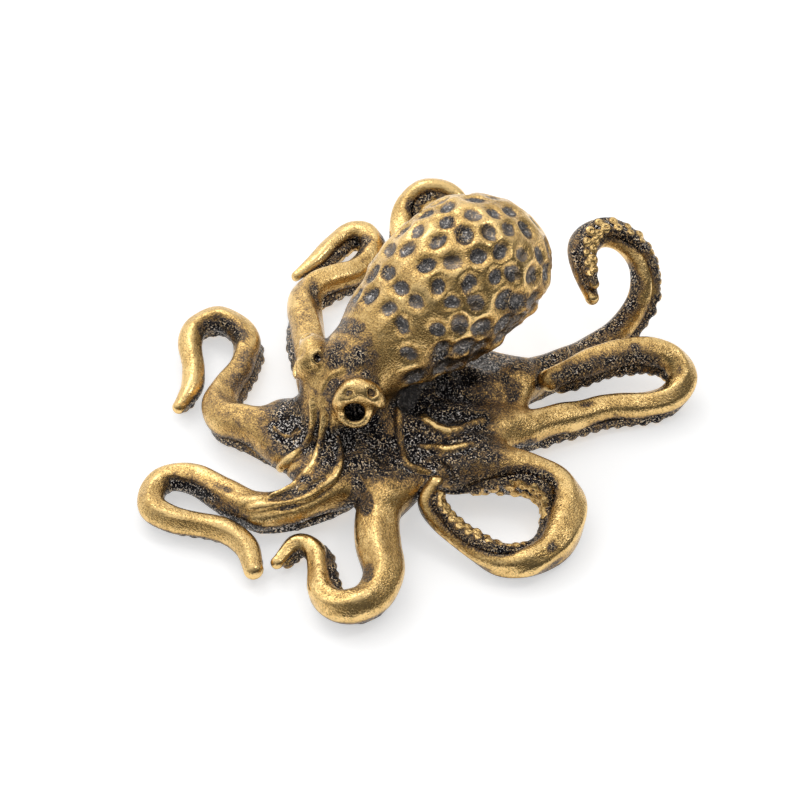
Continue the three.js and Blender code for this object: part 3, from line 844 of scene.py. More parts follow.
np.maximum(clay.depth, -clay.ticks[2][None, None, :], out=clay.depth)
skin_points, skin_quads = skin_of(clay)
skin_edges = edges_of(skin_quads, len(skin_points))
skin_points = relaxed(skin_points, skin_edges, SKIN_ROUNDS)
above_ground = np.clip(skin_points[:, 2:] - FLAT_FOOT, 0, 1)
skin_points += normals_of(skin_points, skin_quads) * above_ground * uneven(skin_points)[:, None]
skin_normals = normals_of(skin_points, skin_quads)
votes = np.eye(len(PIECES))[clay.owner[clay.cells_of(skin_points)]]
piece_of = relaxed(votes, skin_edges, VOTES).argmax(axis=1)
quad_piece = np.sort(piece_of[skin_quads], axis=1)[:, 2]
print("skin:", len(skin_points), "vertices")

# %% [markdown]
# ## Suckers
# Under each arm lies a pressed band with two staggered rows of cups, which stops just short of the tip.
# The cups shrink with the arm. Where they sit and how large they are is worked out first, because the
# clay and the finish both need it.

# %% Places of the cups
BAND_BASE = 0.75
BARE_TIP = 1.0
FIRST_CUP = 1.2
LAST_CUP = 0.4
SUCKER_ROW = 0.29
PITCH_LEAST = 0.55
PITCH_SHARE = 0.5
CUP_WIDTH_LEAST = 0.06
CUP_WIDTH_SHARE = 0.41
CUP_HEIGHT_LEAST = 0.2
CUP_HEIGHT_SHARE = 0.14
CUP_SIZES = (0.8, 1.15)


def band_stations(route):
    """The stations of an arm as far as its band goes; the last bit of the tip is bare."""
    bare = int(BARE_TIP / ARM_STEP)
    return {key: values[:-bare] for key, values in arm_stations(route, ARM_STEP).items()}


def cup_pitch(radius):
    """Distance from one cup to the next in its row, closer together as the arm thins."""
    return PITCH_LEAST + PITCH_SHARE * radius


def cup_marks(stations):
    """Lengths along the arm where cups sit, in one row and the other in turn."""
    marks = []
    length = FIRST_CUP
    while length < stations["length"][-1] - LAST_CUP:
        marks.append(length)
        length += cup_pitch(np.interp(length, stations["length"], stations["radius"])) / 2
    return marks


def cups_of(stations):
    """Each cup of a band: the middle of its foot, the way it points, its half width and its height."""
    marks = np.array(cup_marks(stations))
    sizes = np.random.default_rng(5).uniform(*CUP_SIZES, len(marks))
    row = np.where(np.arange(len(marks)) % 2, 1, -1)[:, None]
    lengths = stations["length"]
    radius = at_lengths(stations["radius"][:, None], lengths, marks)
    down = -at_lengths(stations["dorsal"], lengths, marks)
    aside = row * SUCKER_ROW * radius * at_lengths(stations["side"], lengths, marks)
    middles = at_lengths(stations["centre"], lengths, marks)
    feet = middles + aside + (BELLY_LEVEL * radius + BAND_BASE) * down
    wide = (CUP_WIDTH_SHARE * cup_pitch(radius[:, 0]) + CUP_WIDTH_LEAST) * sizes
    tall = (CUP_HEIGHT_LEAST + CUP_HEIGHT_SHARE * radius[:, 0]) * sizes
    return list(zip(feet, down, wide, tall))


cup_rows = {name: cups_of(band_stations(route)) for name, route in ARM_ROUTES.items()}
print("suckers:", sum(len(row) for row in cup_rows.values()))

# %% [markdown]
# ## Bands of suckers
# Each band is modelled in finer clay of its own, because its cups are much smaller than the arm: a flat
# strip with a rounded lip, and for each cup a stub that narrows, a ring and a pit.

# %% Bands
BAND_SPACING = 0.13
BAND_HALF_WIDTH = 0.68
BAND_OVERLAP = 0.25
BAND_LIP = 0.25
BAND_MELT = 0.1
BAND_REACH_SHARE = 1.5
BAND_REACH_LEAST = 1
CUP_TAPER = 0.45
CUP_RIM = 0.25
CUP_PIT = 0.4
CUP_MARGIN = 0.4
STUB_MELT = 0.2
RING_MELT = 0.12
CUP_PIT_EDGE = 0.08
BELOW_GROUND = -0.3


def add_cup(band, foot, down, wide, tall):
    """One cup on the band: a stub, a ring and a pit."""
    reach = wide + tall + CUP_MARGIN
    cut, x, y, z = band.block(foot - reach, foot + reach)
    offset = (x - foot[0], y - foot[1], z - foot[2])
    out = sum(o * d for o, d in zip(offset, down))
    away = np.sqrt(np.maximum(sum(o * o for o in offset) - out ** 2, 0))
    rim = CUP_RIM * wide
    narrowed = wide * (1 - CUP_TAPER * np.clip(out / tall, 0, 1))
    stub = np.maximum(away - narrowed, np.abs(out) - (tall - rim))
    band.add(cut, stub, STUB_MELT)
    ring = np.hypot(away - wide * (1 - CUP_TAPER) + rim, out - tall + rim) - rim
    band.add(cut, ring, RING_MELT)
    pit = np.sqrt(away ** 2 + (out - tall) ** 2) - CUP_PIT * wide
    band.carve(cut, pit, CUP_PIT_EDGE)


def sucker_band(name):
    """Clay of one arm's band of suckers."""
    stations = band_stations(ARM_ROUTES[name])
    reach = BAND_REACH_SHARE * stations["radius"] + BAND_REACH_LEAST
    low = np.maximum(stations["centre"].min(0) - reach.max(), [-FAR, -FAR, BELOW_GROUND])
    band = Clay(low, stations["centre"].max(0) + reach.max(), BAND_SPACING)

    def section(across, up, over, i):
        """Distance to the strip's section, a bar with rounded edges that reaches into the arm."""
        radius = stations["radius"][i]
        top = -BELLY_LEVEL * radius + BAND_OVERLAP
        base = -BELLY_LEVEL * radius - BAND_BASE
        wide = np.maximum(np.hypot(across, over) - BAND_HALF_WIDTH * radius + BAND_LIP, 0)
        tall = np.maximum(np.abs(up - (top + base) / 2) - (top - base) / 2 + BAND_LIP, 0)
        return np.hypot(wide, tall) - BAND_LIP

    cut, distance, _ = swept(band, stations, reach, section)
    band.add(cut, distance, BAND_MELT)
    for cup in cup_rows[name]:
        add_cup(band, *cup)
    np.maximum(band.depth, -band.ticks[2][None, None, :], out=band.depth)
    return band


bands = {name: sucker_band(name) for name in ARM_ROUTES}
print("bands of", sum(band.depth.size for band in bands.values()), "points")

# %% [markdown]
# ## Where the dark bath stays
# Polishing reaches what a cloth can reach. Three measures say how far that is, and the third also paints
# shade into the colour. Two count the share of
# metal in a small and a larger ball round a spot on the skin: it is one half where the skin is flat, less
# on a crest and more in a hollow. A blur of the clay does the counting for all spots at once.

# %% Metal round a spot
FINE_BALL = 0.5
BROAD_BALL = 1.2
BALL_TO_BOX = 1.7


def metal_of(clay):
    """Share of metal in every grid cell."""
    return np.clip(0.5 - clay.depth / clay.spacing, 0, 1)


def blurred(amount, reach, spacing):
    """Mean of a grid over a box that reaches this far each way, taken three times for a round fall-off."""
    width = max(1, int(round(reach / spacing / BALL_TO_BOX)))
    for axis in (0, 1, 2) * 3:
        total = np.cumsum(np.moveaxis(amount, axis, 0), axis=0, dtype=np.float32)
        count = len(total)
        upper = total[np.minimum(np.arange(count) + width, count - 1)]
        lower = total[np.maximum(np.arange(count) - width - 1, 0)]
        lower[:width + 1] = 0
        amount = np.moveaxis((upper - lower) / (2 * width + 1), 0, axis)
    return amount


def share_at(grid, low, spacing, points):
    """Value of a grid at each place, worked out from the eight grid points round it."""
    cell = np.clip((points - low) / spacing, 0, np.array(grid.shape) - 1.001)
    first = cell.astype(int)
    part = cell - first
    total = np.zeros(len(points))
    for corner in CORNERS:
        weight = np.prod(np.where(corner, part, 1 - part), axis=1)
        total += weight * grid[tuple((first + corner).T)]
    return total


print("balls of", FINE_BALL, "and", BROAD_BALL, "mm")

# %% [markdown]
# ## Sheltered directions
# The third measure looks along many directions from the spot and counts how many of them meet other parts
# of the figure or the ground. It is ambient occlusion: besides patina where the cloth misses, it paints
# shade into the colour near the ground, under the arms and inside the loops. The golden angle spreads the
# directions evenly, and every second grid point is fine enough to look through.

# %% Directions
LOOKS = 40
LOOK_STEPS = [0.7, 1.1, 1.6, 2.3, 3.2, 4.4, 6.0]
LOOK_LIFT = 0.25
LEAST_FACING = 0.1
COARSE_STEP = 2
coarse = clay.depth[::COARSE_STEP, ::COARSE_STEP, ::COARSE_STEP] < 0


def smooth_step(values, low, high):
    """0 up to low, 1 from high on, and a smooth rise between."""
    t = np.clip((values - low) / (high - low), 0, 1)
    return t * t * (3 - 2 * t)


# The ground counts as blocking too, so this measure paints the shade near the floor into the colour.
def blocked(points, normals):
    """Share of the directions out of the skin that meet the figure or the ground."""
    number = np.arange(LOOKS) + 0.5
    height = 1 - 2 * number / LOOKS
    turn = number * math.pi * (3 - math.sqrt(5))
    flat = np.sqrt(1 - height ** 2)
    total = np.zeros(len(points))
    weight = np.zeros(len(points))
    for way in np.stack([flat * np.cos(turn), flat * np.sin(turn), height], axis=1):
        facing = normals @ way
        out = np.flatnonzero(facing > LEAST_FACING)
        met = np.zeros(len(out), bool)
        for step in LOOK_STEPS:
            spots = points[out] + normals[out] * LOOK_LIFT + way * step
            cells = np.rint((spots - clay.low) / (COARSE_STEP * clay.spacing)).astype(int)
            met |= coarse[tuple(np.clip(cells, 0, np.array(coarse.shape) - 1).T)] | (spots[:, 2] < 0)
        total[out] += met * facing[out]
        weight[out] += facing[out]
    return total / np.maximum(weight, 1e-6)


print("looking", LOOK_STEPS[-1], "mm far through", coarse.size, "points")

# %% [markdown]
# ## Bellies, rims and dimples
# A cloth is too stiff for the suckers' side of an arm and slides over the dimples, but it does rub the
# rims of the cups. The suckers' side faces down, so its darkening is patina and painted shade on the
# underside together. Each of these is measured from the form itself, so that the shade ends where the form
# ends.

# %% Bellies, rims and dimples
BELLY_RANGE = (0.1, 0.6)
RIM_HEIGHTS = (0.25, 0.75)
RIM_RADII = (0.3, 0.6)
DIMPLE_FADE = (0.55, 1.2)


def belly_share(route, points):
    """How far each place lies on the suckers' side of an arm: 0 on its back and 1 at its flat belly."""
    stations = arm_stations(route, ARM_STEP)
    nearest = np.array([
        ((place - stations["centre"]) ** 2).sum(axis=1).argmin() for place in points], int)
    up = ((points - stations["centre"][nearest]) * stations["dorsal"][nearest]).sum(axis=1)
    return smooth_step(-up / stations["radius"][nearest], *BELLY_RANGE)


def rim_share(cups, points):
    """How far each place lies on the rim of a cup: 0 on the band and in the pits, 1 on a rim."""
    share = np.zeros(len(points))
    for foot, down, wide, tall in cups:
        near = np.flatnonzero(np.abs(points - foot).max(axis=1) < wide + tall)
        offset = points[near] - foot
        out = offset @ down
        away = np.linalg.norm(offset - out[:, None] * down, axis=1) / (wide * (1 - CUP_TAPER))
        rim = smooth_step(out / tall, *RIM_HEIGHTS) * smooth_step(away, *RIM_RADII)
        share[near] = np.maximum(share[near], rim)
    return share


def dimple_share(points):
    """How far each place lies inside a dimple: 0 at its rim and 1 at its floor."""
    share = np.zeros(len(points))
    for place, size, way in zip(dimples, dimple_sizes, dimple_ways):
        near = np.flatnonzero(np.abs(points - place).max(axis=1) < DIMPLE_PITCH)
        offset = points[near] - place
        gap = np.sqrt((offset ** 2).sum(axis=1) - DIMPLE_STRETCH * (offset @ way) ** 2)
        gap = gap / (DIMPLE_RADIUS * size)
        share[near] = np.maximum(share[near], 1 - smooth_step(gap, *DIMPLE_FADE))
    return share


print("a dimple's shade ends", round(DIMPLE_FADE[1] * DIMPLE_RADIUS, 2), "mm from its middle")

# %% [markdown]
# ## Dark and bright places
# The maker left some more places dark and rubbed others twice, most of all the crests of the folds. Some
# dark lines are painted shade on the inner walls of loops and curls, and one bright line is a painted
# highlight on a lit flank. These places are lines on the picture plane again, each with an amount and a
# reach.

# %% Lines of shade and shine
FOLD_RUB = 0.97
FOLD_RUB_REACH = 0.5
LINE_FADE = 2.5
LINE_SKIP = 6
CREST_SKIP = 2
# Lines left dark: patina, and on the inner walls of loops and curls painted shade.
UNRUBBED_AND_SHADED = [
    [0.75, 1.5, [[-6.4, 4.8], [-5.8, 3.6], [-4.2, 4.4]]],
    [0.7, 2.2, [[-10.2, 0.2], [-11.4, -2.4], [-10.6, -4.2]]],
    [0.6, 1.5, [[-12.6, -5.4], [-11, -5.2], [-8.6, -4.6], [-7.0, -5.6], [-8.2, -7.8]]],
    [0.75, 2.4, [[2.5, -1.0], [5.5, -3.0], [8.0, -4.6], [5.0, -6.0]]],
    [0.7, 1.5, [[8.5, 2.4], [11.5, 3.4], [14.0, 3.9]]],
    [0.6, 1.8, [[-3.2, -4.8], [-1.5, -5.6], [0.6, -6.6]]],
    [0.95, 1.1, [[14.5, 3.9], [18.0, 5.6], [20.8, 7.2], [22.7, 9.0], [23.5, 11.2], [23.2, 13.0]]],
    [0.9, 1.4, [[17.8, 17.0], [17.6, 15.0], [18.8, 12.4]]],
    [0.95, 1.1, [[14.8, 1.4], [17.0, 2.6], [20, 3.6], [23, 4.0], [25.4, 3.8]]],
    [0.95, 0.9, [[-19.6, 6.9], [-18.4, 7.5], [-16.8, 7.2], [-16.0, 6.2]]],
    [0.55, 1.2, [[-15.2, 4.6], [-15.6, 3.0], [-16.4, 1.6]]],
    [0.95, 0.9, [[-22.6, -8.4], [-21.2, -8.7], [-19.6, -9.4]]],
    [0.5, 0.8, [[-19.0, -9.9], [-17.4, -10.8], [-15.8, -11.8]]],
    [0.85, 0.9, [[-3.6, 15.8], [-5.0, 15.2], [-6.0, 14.2]]],
    [0.5, 1.0, [[-6.4, 9.0], [-4.6, 9.6], [-3.0, 10.4]]],
    [0.5, 0.9, [[6.0, -7.6], [9.0, -8.0], [12.0, -8.6], [14.4, -10.0]]],
    [0.8, 1.1, [[-11.4, -7.6], [-10.4, -6.8], [-9.4, -7.6]]],
    [0.5, 1.0, [[-3.2, -4.2], [-3.0, -6.0], [-2.0, -7.4]]],
    [0.6, 1.2, [[3.5, -6.6], [6.5, -6.2], [9.5, -5.6]]],
    [0.22, 2.5, [[-18.6, 0.2], [-16.8, -1.2], [-14.4, -2.0]]],
    [0.12, 2.0, [[-24.6, -9.6], [-22.8, -12.2], [-19.4, -13.2]]],
    [0.2, 2.0, [[-9.4, 11.4], [-9.2, 8.6], [-9.2, 6.0]]],
    [0.5, 1.7, [[1.5, 2.6], [5.8, 4.6], [10.0, 7.4], [13.2, 10.6]]],
]
# Lines rubbed bright: the fold crests and most rows are polish, and the second row is a painted highlight
# on the lit flank of arm left_4.
RUBBED_AND_LIT = [
    [0.95, 1.8, [[11.0, 1.6], [12.6, 1.1], [14.4, 0.6]]],
    [0.9, 0.6, [[24.6, 8.2], [25.3, 10.0], [25.0, 12.0], [24.0, 14.4]]],
    [0.5, 1.0, [[-0.6, -3.0], [-1.0, -1.6]]],
]


def beside_lines(points, rows):
    """How close each place lies to some lines, each with an amount, a reach and its places."""
    share = np.zeros(len(points))
    for amount, reach, places in rows:
        beside = np.maximum(places.min(0) - points, points - places.max(0)).max(axis=1)
        near = np.flatnonzero(beside < LINE_FADE * reach)
        gap = np.full(len(near), FAR)
        for place in places:
            gap = np.minimum(gap, np.linalg.norm(points[near] - place, axis=1))
        share[near] = np.maximum(share[near], amount * np.exp(-(gap / reach) ** 2))
    return share


unrubbed_and_shaded = [(amount, reach, onto_clay(line)[::LINE_SKIP]) for amount, reach, line in UNRUBBED_AND_SHADED]
rubbed_and_lit_lines = [(FOLD_RUB, FOLD_RUB_REACH, crest[::CREST_SKIP]) for crest in fold_crests]
rubbed_and_lit_lines += [(amount, reach, onto_clay(line)[::LINE_SKIP]) for amount, reach, line in RUBBED_AND_LIT]
print(len(unrubbed_and_shaded), "dark lines and", len(rubbed_and_lit_lines), "bright ones")

# %% [markdown]
# ## Tones
# All of this comes down to four numbers for each vertex: fine and broad for the two balls, one for what
# the cloth misses, which also holds painted shade near the ground, under the arms and inside the loops, and
# dimple. The dip of the web between the arms counts as sheltered too. Numbers
# kept on vertices are cheap, and the finish can read them by name.

# %% Tones
BLOCKED_RANGE = (0.3, 0.75)
WEB_DIP = 0.75
WEB_DIP_RIM = 1.05
WEB_DIP_EASE = 0.4
WEB_DIP_TOP = 8.6
WEB_DIP_DEPTH = 1.6
# Darkening of the suckers' side: patina and painted shade on the underside.
BELLY_PATINA_AND_SHADE = 0.7
RIM_RUB = 0.95


def tones(clay, points, normals, belly, rims):
    """The measures of each vertex, from the clay that its skin was drawn on."""
    metal = metal_of(clay)
    fine, broad = (
        share_at(blurred(metal, ball, clay.spacing), clay.low, clay.spacing, points)
        for ball in (FINE_BALL, BROAD_BALL))
    reach, _, _, away = web_rim(points[:, 0] - SHIFT[0], points[:, 1] - SHIFT[1])
    inside_rim = smooth_step(WEB_DIP_RIM - away / reach, 0, WEB_DIP_EASE)
    below_top = smooth_step(WEB_DIP_TOP - points[:, 2], 0, WEB_DIP_DEPTH)
    dip = inside_rim * below_top
    open_share = 1 - smooth_step(blocked(points, normals), *BLOCKED_RANGE)
    # This darkening holds patina where the cloth misses and also painted shade: near the ground, on the
    # arms' undersides and on the inner walls of loops.
    shelter = 1 - open_share * (1 - WEB_DIP * dip) * (1 - belly) * (1 - beside_lines(points, unrubbed_and_shaded))
    shelter = shelter * (1 - beside_lines(points, rubbed_and_lit_lines)) * (1 - RIM_RUB * rims)
    return {"fine": fine, "broad": broad, "shelter": shelter, "dimple": dimple_share(points)}


# The suckers' side of each arm is darkened with patina and painted shade on the underside.
skin_belly = np.zeros(len(skin_points))
for name, route in ARM_ROUTES.items():
    own = piece_of == PIECES.index(f"arm_{name}")
    skin_belly[own] = BELLY_PATINA_AND_SHADE * belly_share(route, skin_points[own])
skin_tones = tones(clay, skin_points, skin_normals, skin_belly, 0)
for key, values in skin_tones.items():
    print(key, np.round(np.percentile(values, [2, 25, 50, 75, 98]), 3))

# %% [markdown]
# ## Meshes
# Vertices, quads and tones become Blender meshes that ride on the frame's only body. Each stands for
# the solid of the same name. A piece that was cut from the skin is open where it met its neighbour, so
# every open border is closed with a fan of triangles.

# %% Pieces
# The bands of suckers lie underneath and are darkened with patina and painted shade.
BAND_PATINA_AND_SHADE = 0.85
BAND_ROUNDS = 1


def open_loops(quads, count):
    """The open borders of some quads, each as a list of edges."""
    ends = np.concatenate([quads[:, [i, (i + 1) % 4]] for i in range(4)]).astype(np.int64)
    border = ends[~np.isin(ends[:, 0] * count + ends[:, 1], ends[:, 1] * count + ends[:, 0])]
    following = {}
    for a, b in border.tolist():
        following.setdefault(a, []).append(b)
    seen = set()
    loops = []
    for start in following:
        loop = []
        todo = [start]
        while todo:
            a = todo.pop()
            if a in seen:
                continue
            seen.add(a)
            loop += [(a, b) for b in following.get(a, [])]
            todo += following.get(a, [])
        if loop:
            loops.append(loop)
    return loops


def make_piece(node, points, quads, normals, measures):
    """A closed mesh that replaces one CAD node; each open border gets a fan round its middle."""
    used, small = np.unique(quads, return_inverse=True)
    small = small.reshape(quads.shape)
    places = points[used]
    caps = []
    middles = []
    for loop in open_loops(small, len(used)):
        caps += [(b, a, len(used) + len(middles)) for a, b in loop]
        middles.append(places[[a for a, _ in loop]].mean(axis=0))
    mesh = bpy.data.meshes.new(f"cast_{node}")
    corners = np.concatenate([places, np.reshape(middles, (-1, 3))]) * MM
    mesh.from_pydata(corners.tolist(), [], small.tolist() + caps)
    for key, values in measures.items():
        held = mesh.attributes.new(key, "FLOAT", "POINT")
        held.data.foreach_set("value", np.append(values[used], np.zeros(len(middles))).astype(np.float32))
    mesh.shade_smooth()
    shading = np.zeros((len(mesh.loops), 3))
    shading[:small.size] = normals[used][small.ravel()]
    mesh.normals_split_custom_set(shading)
    piece = bpy.data.objects.new(f"cast_{node}", mesh)
    bpy.context.scene.collection.objects.link(piece)
    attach(piece, "root")
    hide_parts(node)
    return piece


pieces = []
for number, node in enumerate(PIECES):
    own = skin_quads[quad_piece == number]
    pieces.append(make_piece(node, skin_points, own, skin_normals, skin_tones))
for name, band in bands.items():
    points, quads = skin_of(band)
    points = relaxed(points, edges_of(quads, len(points)), BAND_ROUNDS)
    normals = normals_of(points, quads)
    rims = rim_share(cup_rows[name], points)
    band_tones = tones(band, points, normals, BAND_PATINA_AND_SHADE, rims)
    pieces.append(make_piece(f"suckers_{name}", points, quads, normals, band_tones))
print(len(pieces), "pieces,", sum(len(piece.data.polygons) for piece in pieces), "faces")

# %% [markdown]
# ## Wires
# A finish is a tree of shader nodes. One small class wraps an output socket, so that sums on sockets
# read like sums in Python and add the Math nodes by themselves.

# %% Wires
class Wire:
    """One output socket. Sums on wires add Math nodes to the same tree."""

    def __init__(self, socket):
        self.socket = socket

    def node(self, kind, settings, inputs, output=0):
        """Adds a node, sets it up, feeds its sockets and returns one of its outputs."""
        tree = self.socket.id_data
        made = tree.nodes.new(kind)
        for key, value in settings.items():
            if key == "stops":
                elements = made.color_ramp.elements
                while len(elements) < len(value):
                    elements.new(1.0)
                for element, (place, colour) in zip(elements, value):
                    element.position = place
                    element.color = (*colour, 1)
            else:
                setattr(made, key, value)
        for key, value in inputs.items():
            if isinstance(value, Wire):
                tree.links.new(value.socket, made.inputs[key])
            else:
                made.inputs[key].default_value = value
        return Wire(made.outputs[output])

    def sum_with(self, operation, first, second):
        """A Math node on two values, of which one at least is a wire."""
        return self.node("ShaderNodeMath", {"operation": operation}, {0: first, 1: second})

    def __add__(self, other):
        return self.sum_with("ADD", self, other)

    __radd__ = __add__

    def __sub__(self, other):
        return self.sum_with("SUBTRACT", self, other)

    def __rsub__(self, other):
        return self.sum_with("SUBTRACT", other, self)

    def __mul__(self, other):
        return self.sum_with("MULTIPLY", self, other)

    __rmul__ = __mul__

    def ramp(self, low, high):
        """0 up to low, 1 from high on, and a smooth rise between."""
        inputs = {"Value": self, "From Min": low, "From Max": high}
        return self.node("ShaderNodeMapRange", {"interpolation_type": "SMOOTHSTEP"}, inputs)

    def mixed(self, first, second):
        """A colour that goes from the first to the second as this wire goes from 0 to 1."""
        inputs = {"Factor": self, "A": first, "B": second}
        return self.node("ShaderNodeMix", {"data_type": "RGBA"}, inputs, "Result")


print("a wire can:", ", ".join(name for name in vars(Wire) if not name.startswith("_")))

# %% [markdown]
# ## Antiqued brass
# The metal is the same everywhere; only how far the cloth has reached differs. So one material serves
# for all pieces. It works from the numbers that the vertices keep and from noise of four sizes, from
# broad clouds down to the grain of the casting.

# %% Brass
material = bpy.data.materials.new("antiqued_brass")
material.use_nodes = True
tree = material.node_tree
tree.nodes.clear()
output = tree.nodes.new("ShaderNodeOutputMaterial")
shader = tree.nodes.new("ShaderNodeBsdfPrincipled")
tree.links.new(shader.outputs[0], output.inputs["Surface"])
place = Wire(tree.nodes.new("ShaderNodeTexCoord").outputs["Object"])


def tone(key):
    """One of the numbers that the vertices keep."""
    return place.node("ShaderNodeAttribute", {"attribute_name": key}, {}, "Fac")


def noise(per_mm, detail):
    """Cloudy noise of so many lumps to the millimetre."""
    inputs = {"Vector": place, "Scale": per_mm / MM, "Detail": detail, "Roughness": 0.6}
    return place.node("ShaderNodeTexNoise", {}, inputs)


clouds = noise(0.3, 2)
blotches = noise(1.2, 3)
grain = noise(5.6, 2)
flakes = noise(3.2, 2)
print("brass starts with", len(tree.nodes), "nodes")

# %% [markdown]
# ## Patina and painted shade
# One value, the patina, runs from 0 on rubbed gold over brown to 1 in the black of the recesses. Hollows,
# dimples and sheltered places add to it, crests and broad backs take from it, and noise breaks it up, as
# neither the bath nor the cloth works evenly. The sheltered places bring painted shade into it as well as
# patina.

# %% Patina
THIN_PATINA = 0.16
SHELTER_AND_SHADE_PATINA = 0.75
HOLLOW_PATINA = 0.4
DIMPLE_PATINA = 0.36
CREST_POLISH = 0.6
RUBBED_POLISH = 0.1
hollow = tone("fine").ramp(0.53, 0.6)
crest = (1 - tone("fine")).ramp(0.62, 0.74)
rubbed = (1 - tone("broad")).ramp(0.56, 0.66)
spot = (tone("dimple") + (blotches - 0.5) * 1.1).ramp(0.2, 0.95)
# The shelter tone brings painted shade as well as patina into the colour.
patina = THIN_PATINA + tone("shelter") * SHELTER_AND_SHADE_PATINA + hollow * HOLLOW_PATINA + spot * DIMPLE_PATINA
patina = patina - crest * CREST_POLISH - rubbed * RUBBED_POLISH
patina = patina * (1 + (clouds - 0.5) * 0.8 + (blotches - 0.5) * 0.9)
patina = patina + (blotches - 0.5) * 0.35 + (grain - 0.5) * (0.42 + patina * 1.1)
print("patina made with", len(tree.nodes), "nodes")

# %% [markdown]
# ## Colour, gloss and grain
# A colour ramp turns the patina into gold, brown and black. The black keeps the grain of the casting,
# whose faces glitter, while the rubbed gold is satin with a few dark pits. The dimples stay a glossy dark
# grey with coarser glints. The grain is too fine to be modelled, so a bump makes it.

# %% Colour, gloss and grain
PATINA_COLOURS = [
    (0.0, (0.88, 0.61, 0.26)), (0.2, (0.62, 0.395, 0.14)), (0.42, (0.26, 0.166, 0.082)),
    (0.6, (0.09, 0.076, 0.07)), (0.8, (0.03, 0.028, 0.032)), (1.0, (0.01, 0.009, 0.012)),
]
DIMPLE_GREY = (0.2, 0.19, 0.185, 1)
GOLD_GLINT = (0.95, 0.68, 0.34, 1)
PALE_GLINT = (1, 0.94, 0.88, 1)
PIT_BROWN = (0.14, 0.085, 0.035, 1)
BUMP_STRENGTH = 0.7
BUMP_HEIGHT = 0.07 * MM
colour = patina.node("ShaderNodeValToRGB", {"stops": PATINA_COLOURS}, {"Fac": patina})
colour = (spot * 0.6).mixed(colour, DIMPLE_GREY)
glitter = patina.ramp(0.5, 0.85).mixed(GOLD_GLINT, PALE_GLINT)
fleck = (1 - grain).ramp(0.54, 0.61) * (1 - spot) + (1 - flakes).ramp(0.53, 0.63) * spot * 0.4
fleck = fleck * patina.ramp(0.35, 0.65)
pit = grain.ramp(0.56, 0.66) * (1 - patina) * 0.4
colour = fleck.mixed(colour, glitter)
colour = pit.mixed(colour, PIT_BROWN)
rough = 0.19 + patina * 0.06 + (blotches - 0.5) * 0.15
bumps = grain * (0.1 + patina * 3.4) * (1 - spot * 0.6) + blotches * 0.6
relief = {"Height": bumps, "Strength": BUMP_STRENGTH, "Distance": BUMP_HEIGHT}
normal = bumps.node("ShaderNodeBump", {}, relief)
for key, wire in (("Base Color", colour), ("Roughness", rough), ("Normal", normal)):
    tree.links.new(wire.socket, shader.inputs[key])
shader.inputs["Metallic"].default_value = 1.0
for piece in pieces:
    piece.data.materials.append(material)
print("finish on", len(pieces), "pieces")

# %% [markdown]
# ## Lamps
# A large softbox stands behind the figure and lights its backs. A small fill lamp above adds the sharp
# glints that polished metal shows. Both are area lamps in the shape of a disk, turned to the figure.

# %% Lamps
LIGHT_AZIMUTH = math.radians(260)
LIGHT_ELEVATION = math.radians(45)
LAMP_DISTANCE = 0.5
SOFTBOX_SIZE = 0.3
SOFTBOX_POWER = 0.4
FILL_WAY = Vector((0.25, 0.38, 0.89))
FILL_SIZE = 0.12
FILL_POWER = 0.15


def add_lamp(name, way, size, power):
    """A disk-shaped lamp in one direction from the figure, turned to face it."""
    disk = bpy.data.lights.new(name, "AREA")
    disk.shape = "DISK"
    disk.size = size
    disk.energy = power
    lamp = bpy.data.objects.new(name, disk)
    lamp.location = way * LAMP_DISTANCE
    lamp.rotation_euler = way.to_track_quat("Z", "Y").to_euler()
    bpy.context.scene.collection.objects.link(lamp)
    return lamp


light_way = direction(LIGHT_AZIMUTH, LIGHT_ELEVATION)
lamps = [
    add_lamp("softbox", light_way, SOFTBOX_SIZE, SOFTBOX_POWER),
    add_lamp("fill", FILL_WAY, FILL_SIZE, FILL_POWER),
]
print("lamps:", ", ".join(lamp.name for lamp in lamps))

# %% [markdown]
# ## Paper
# The figure stands on white paper. The paper adds a little light of its own for the camera and for
# reflections, so that it comes out white and keeps the shadow.

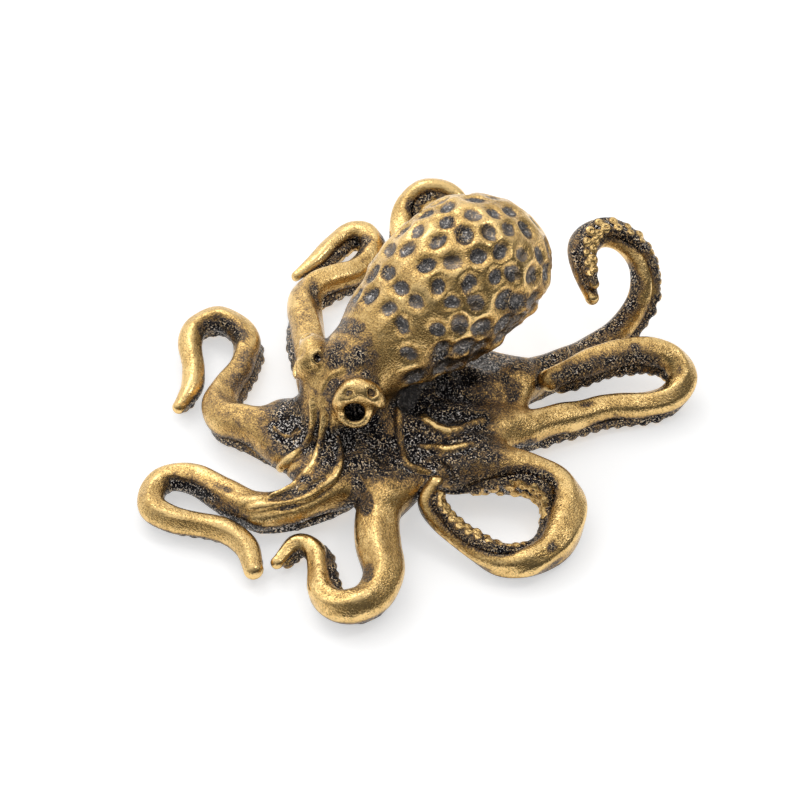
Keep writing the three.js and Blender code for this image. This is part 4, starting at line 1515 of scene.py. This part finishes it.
# %% Paper
FLOOR_HALF = 1.5
PAPER_WHITE = (0.75, 0.75, 0.75, 1)
PAPER_GLOW = 0.54
floor_mesh = bpy.data.meshes.new("paper")
floor_corners = [(sx * FLOOR_HALF, sy * FLOOR_HALF, 0) for sx, sy in ((-1, -1), (1, -1), (1, 1), (-1, 1))]
floor_mesh.from_pydata(floor_corners, [], [(0, 1, 2, 3)])
floor = bpy.data.objects.new("paper", floor_mesh)
bpy.context.scene.collection.objects.link(floor)
paper = bpy.data.materials.new("paper")
paper.use_nodes = True
nodes = paper.node_tree.nodes
nodes.clear()
path = nodes.new("ShaderNodeLightPath").outputs
seen = Wire(path["Is Camera Ray"]) + Wire(path["Is Glossy Ray"]) + Wire(path["Is Transmission Ray"])
matt = seen.node("ShaderNodeBsdfDiffuse", {}, {"Color": PAPER_WHITE})
glow = seen.node("ShaderNodeEmission", {}, {"Color": (1, 1, 1, 1), "Strength": seen * PAPER_GLOW})
both = seen.node("ShaderNodeAddShader", {}, {0: matt, 1: glow})
paper_output = nodes.new("ShaderNodeOutputMaterial")
paper.node_tree.links.new(both.socket, paper_output.inputs["Surface"])
floor_mesh.materials.append(paper)
print("paper of", 2 * FLOOR_HALF, "m")

# %% [markdown]
# ## Studio
# Polished metal shows the room it stands in. The studio is bright behind and above the figure and dim at
# the camera, so its backs catch the light and its sides stay dark. The camera itself sees plain white.

# %% Studio
DIM_SIDE = 0.09
BRIGHT_SIDE = 0.94
BRIGHT_RANGE = (-0.2, 1.0)
world = bpy.data.worlds.new("studio")
bpy.context.scene.world = world
world.use_nodes = True
nodes = world.node_tree.nodes
background = nodes["Background"]
way = Wire(nodes.new("ShaderNodeTexCoord").outputs["Generated"])
facing = way.node("ShaderNodeVectorMath", {"operation": "DOT_PRODUCT"}, {0: way, 1: light_way}, "Value")
studio = DIM_SIDE + facing.ramp(*BRIGHT_RANGE) * BRIGHT_SIDE
camera_ray = Wire(nodes.new("ShaderNodeLightPath").outputs["Is Camera Ray"])
strength = camera_ray + (1 - camera_ray) * studio
world.node_tree.links.new(strength.socket, background.inputs["Strength"])
background.inputs["Color"].default_value = (1, 1, 1, 1)
bpy.context.scene.view_settings.view_transform = "Standard"
print("studio lit from azimuth", round(math.degrees(LIGHT_AZIMUTH)))

# %% [markdown]
# ## Size
# The dressed figure should fill the same box as the frame that it was built on; the frame's box is printed
# at the start.

# %% [markdown]
# ## Finish
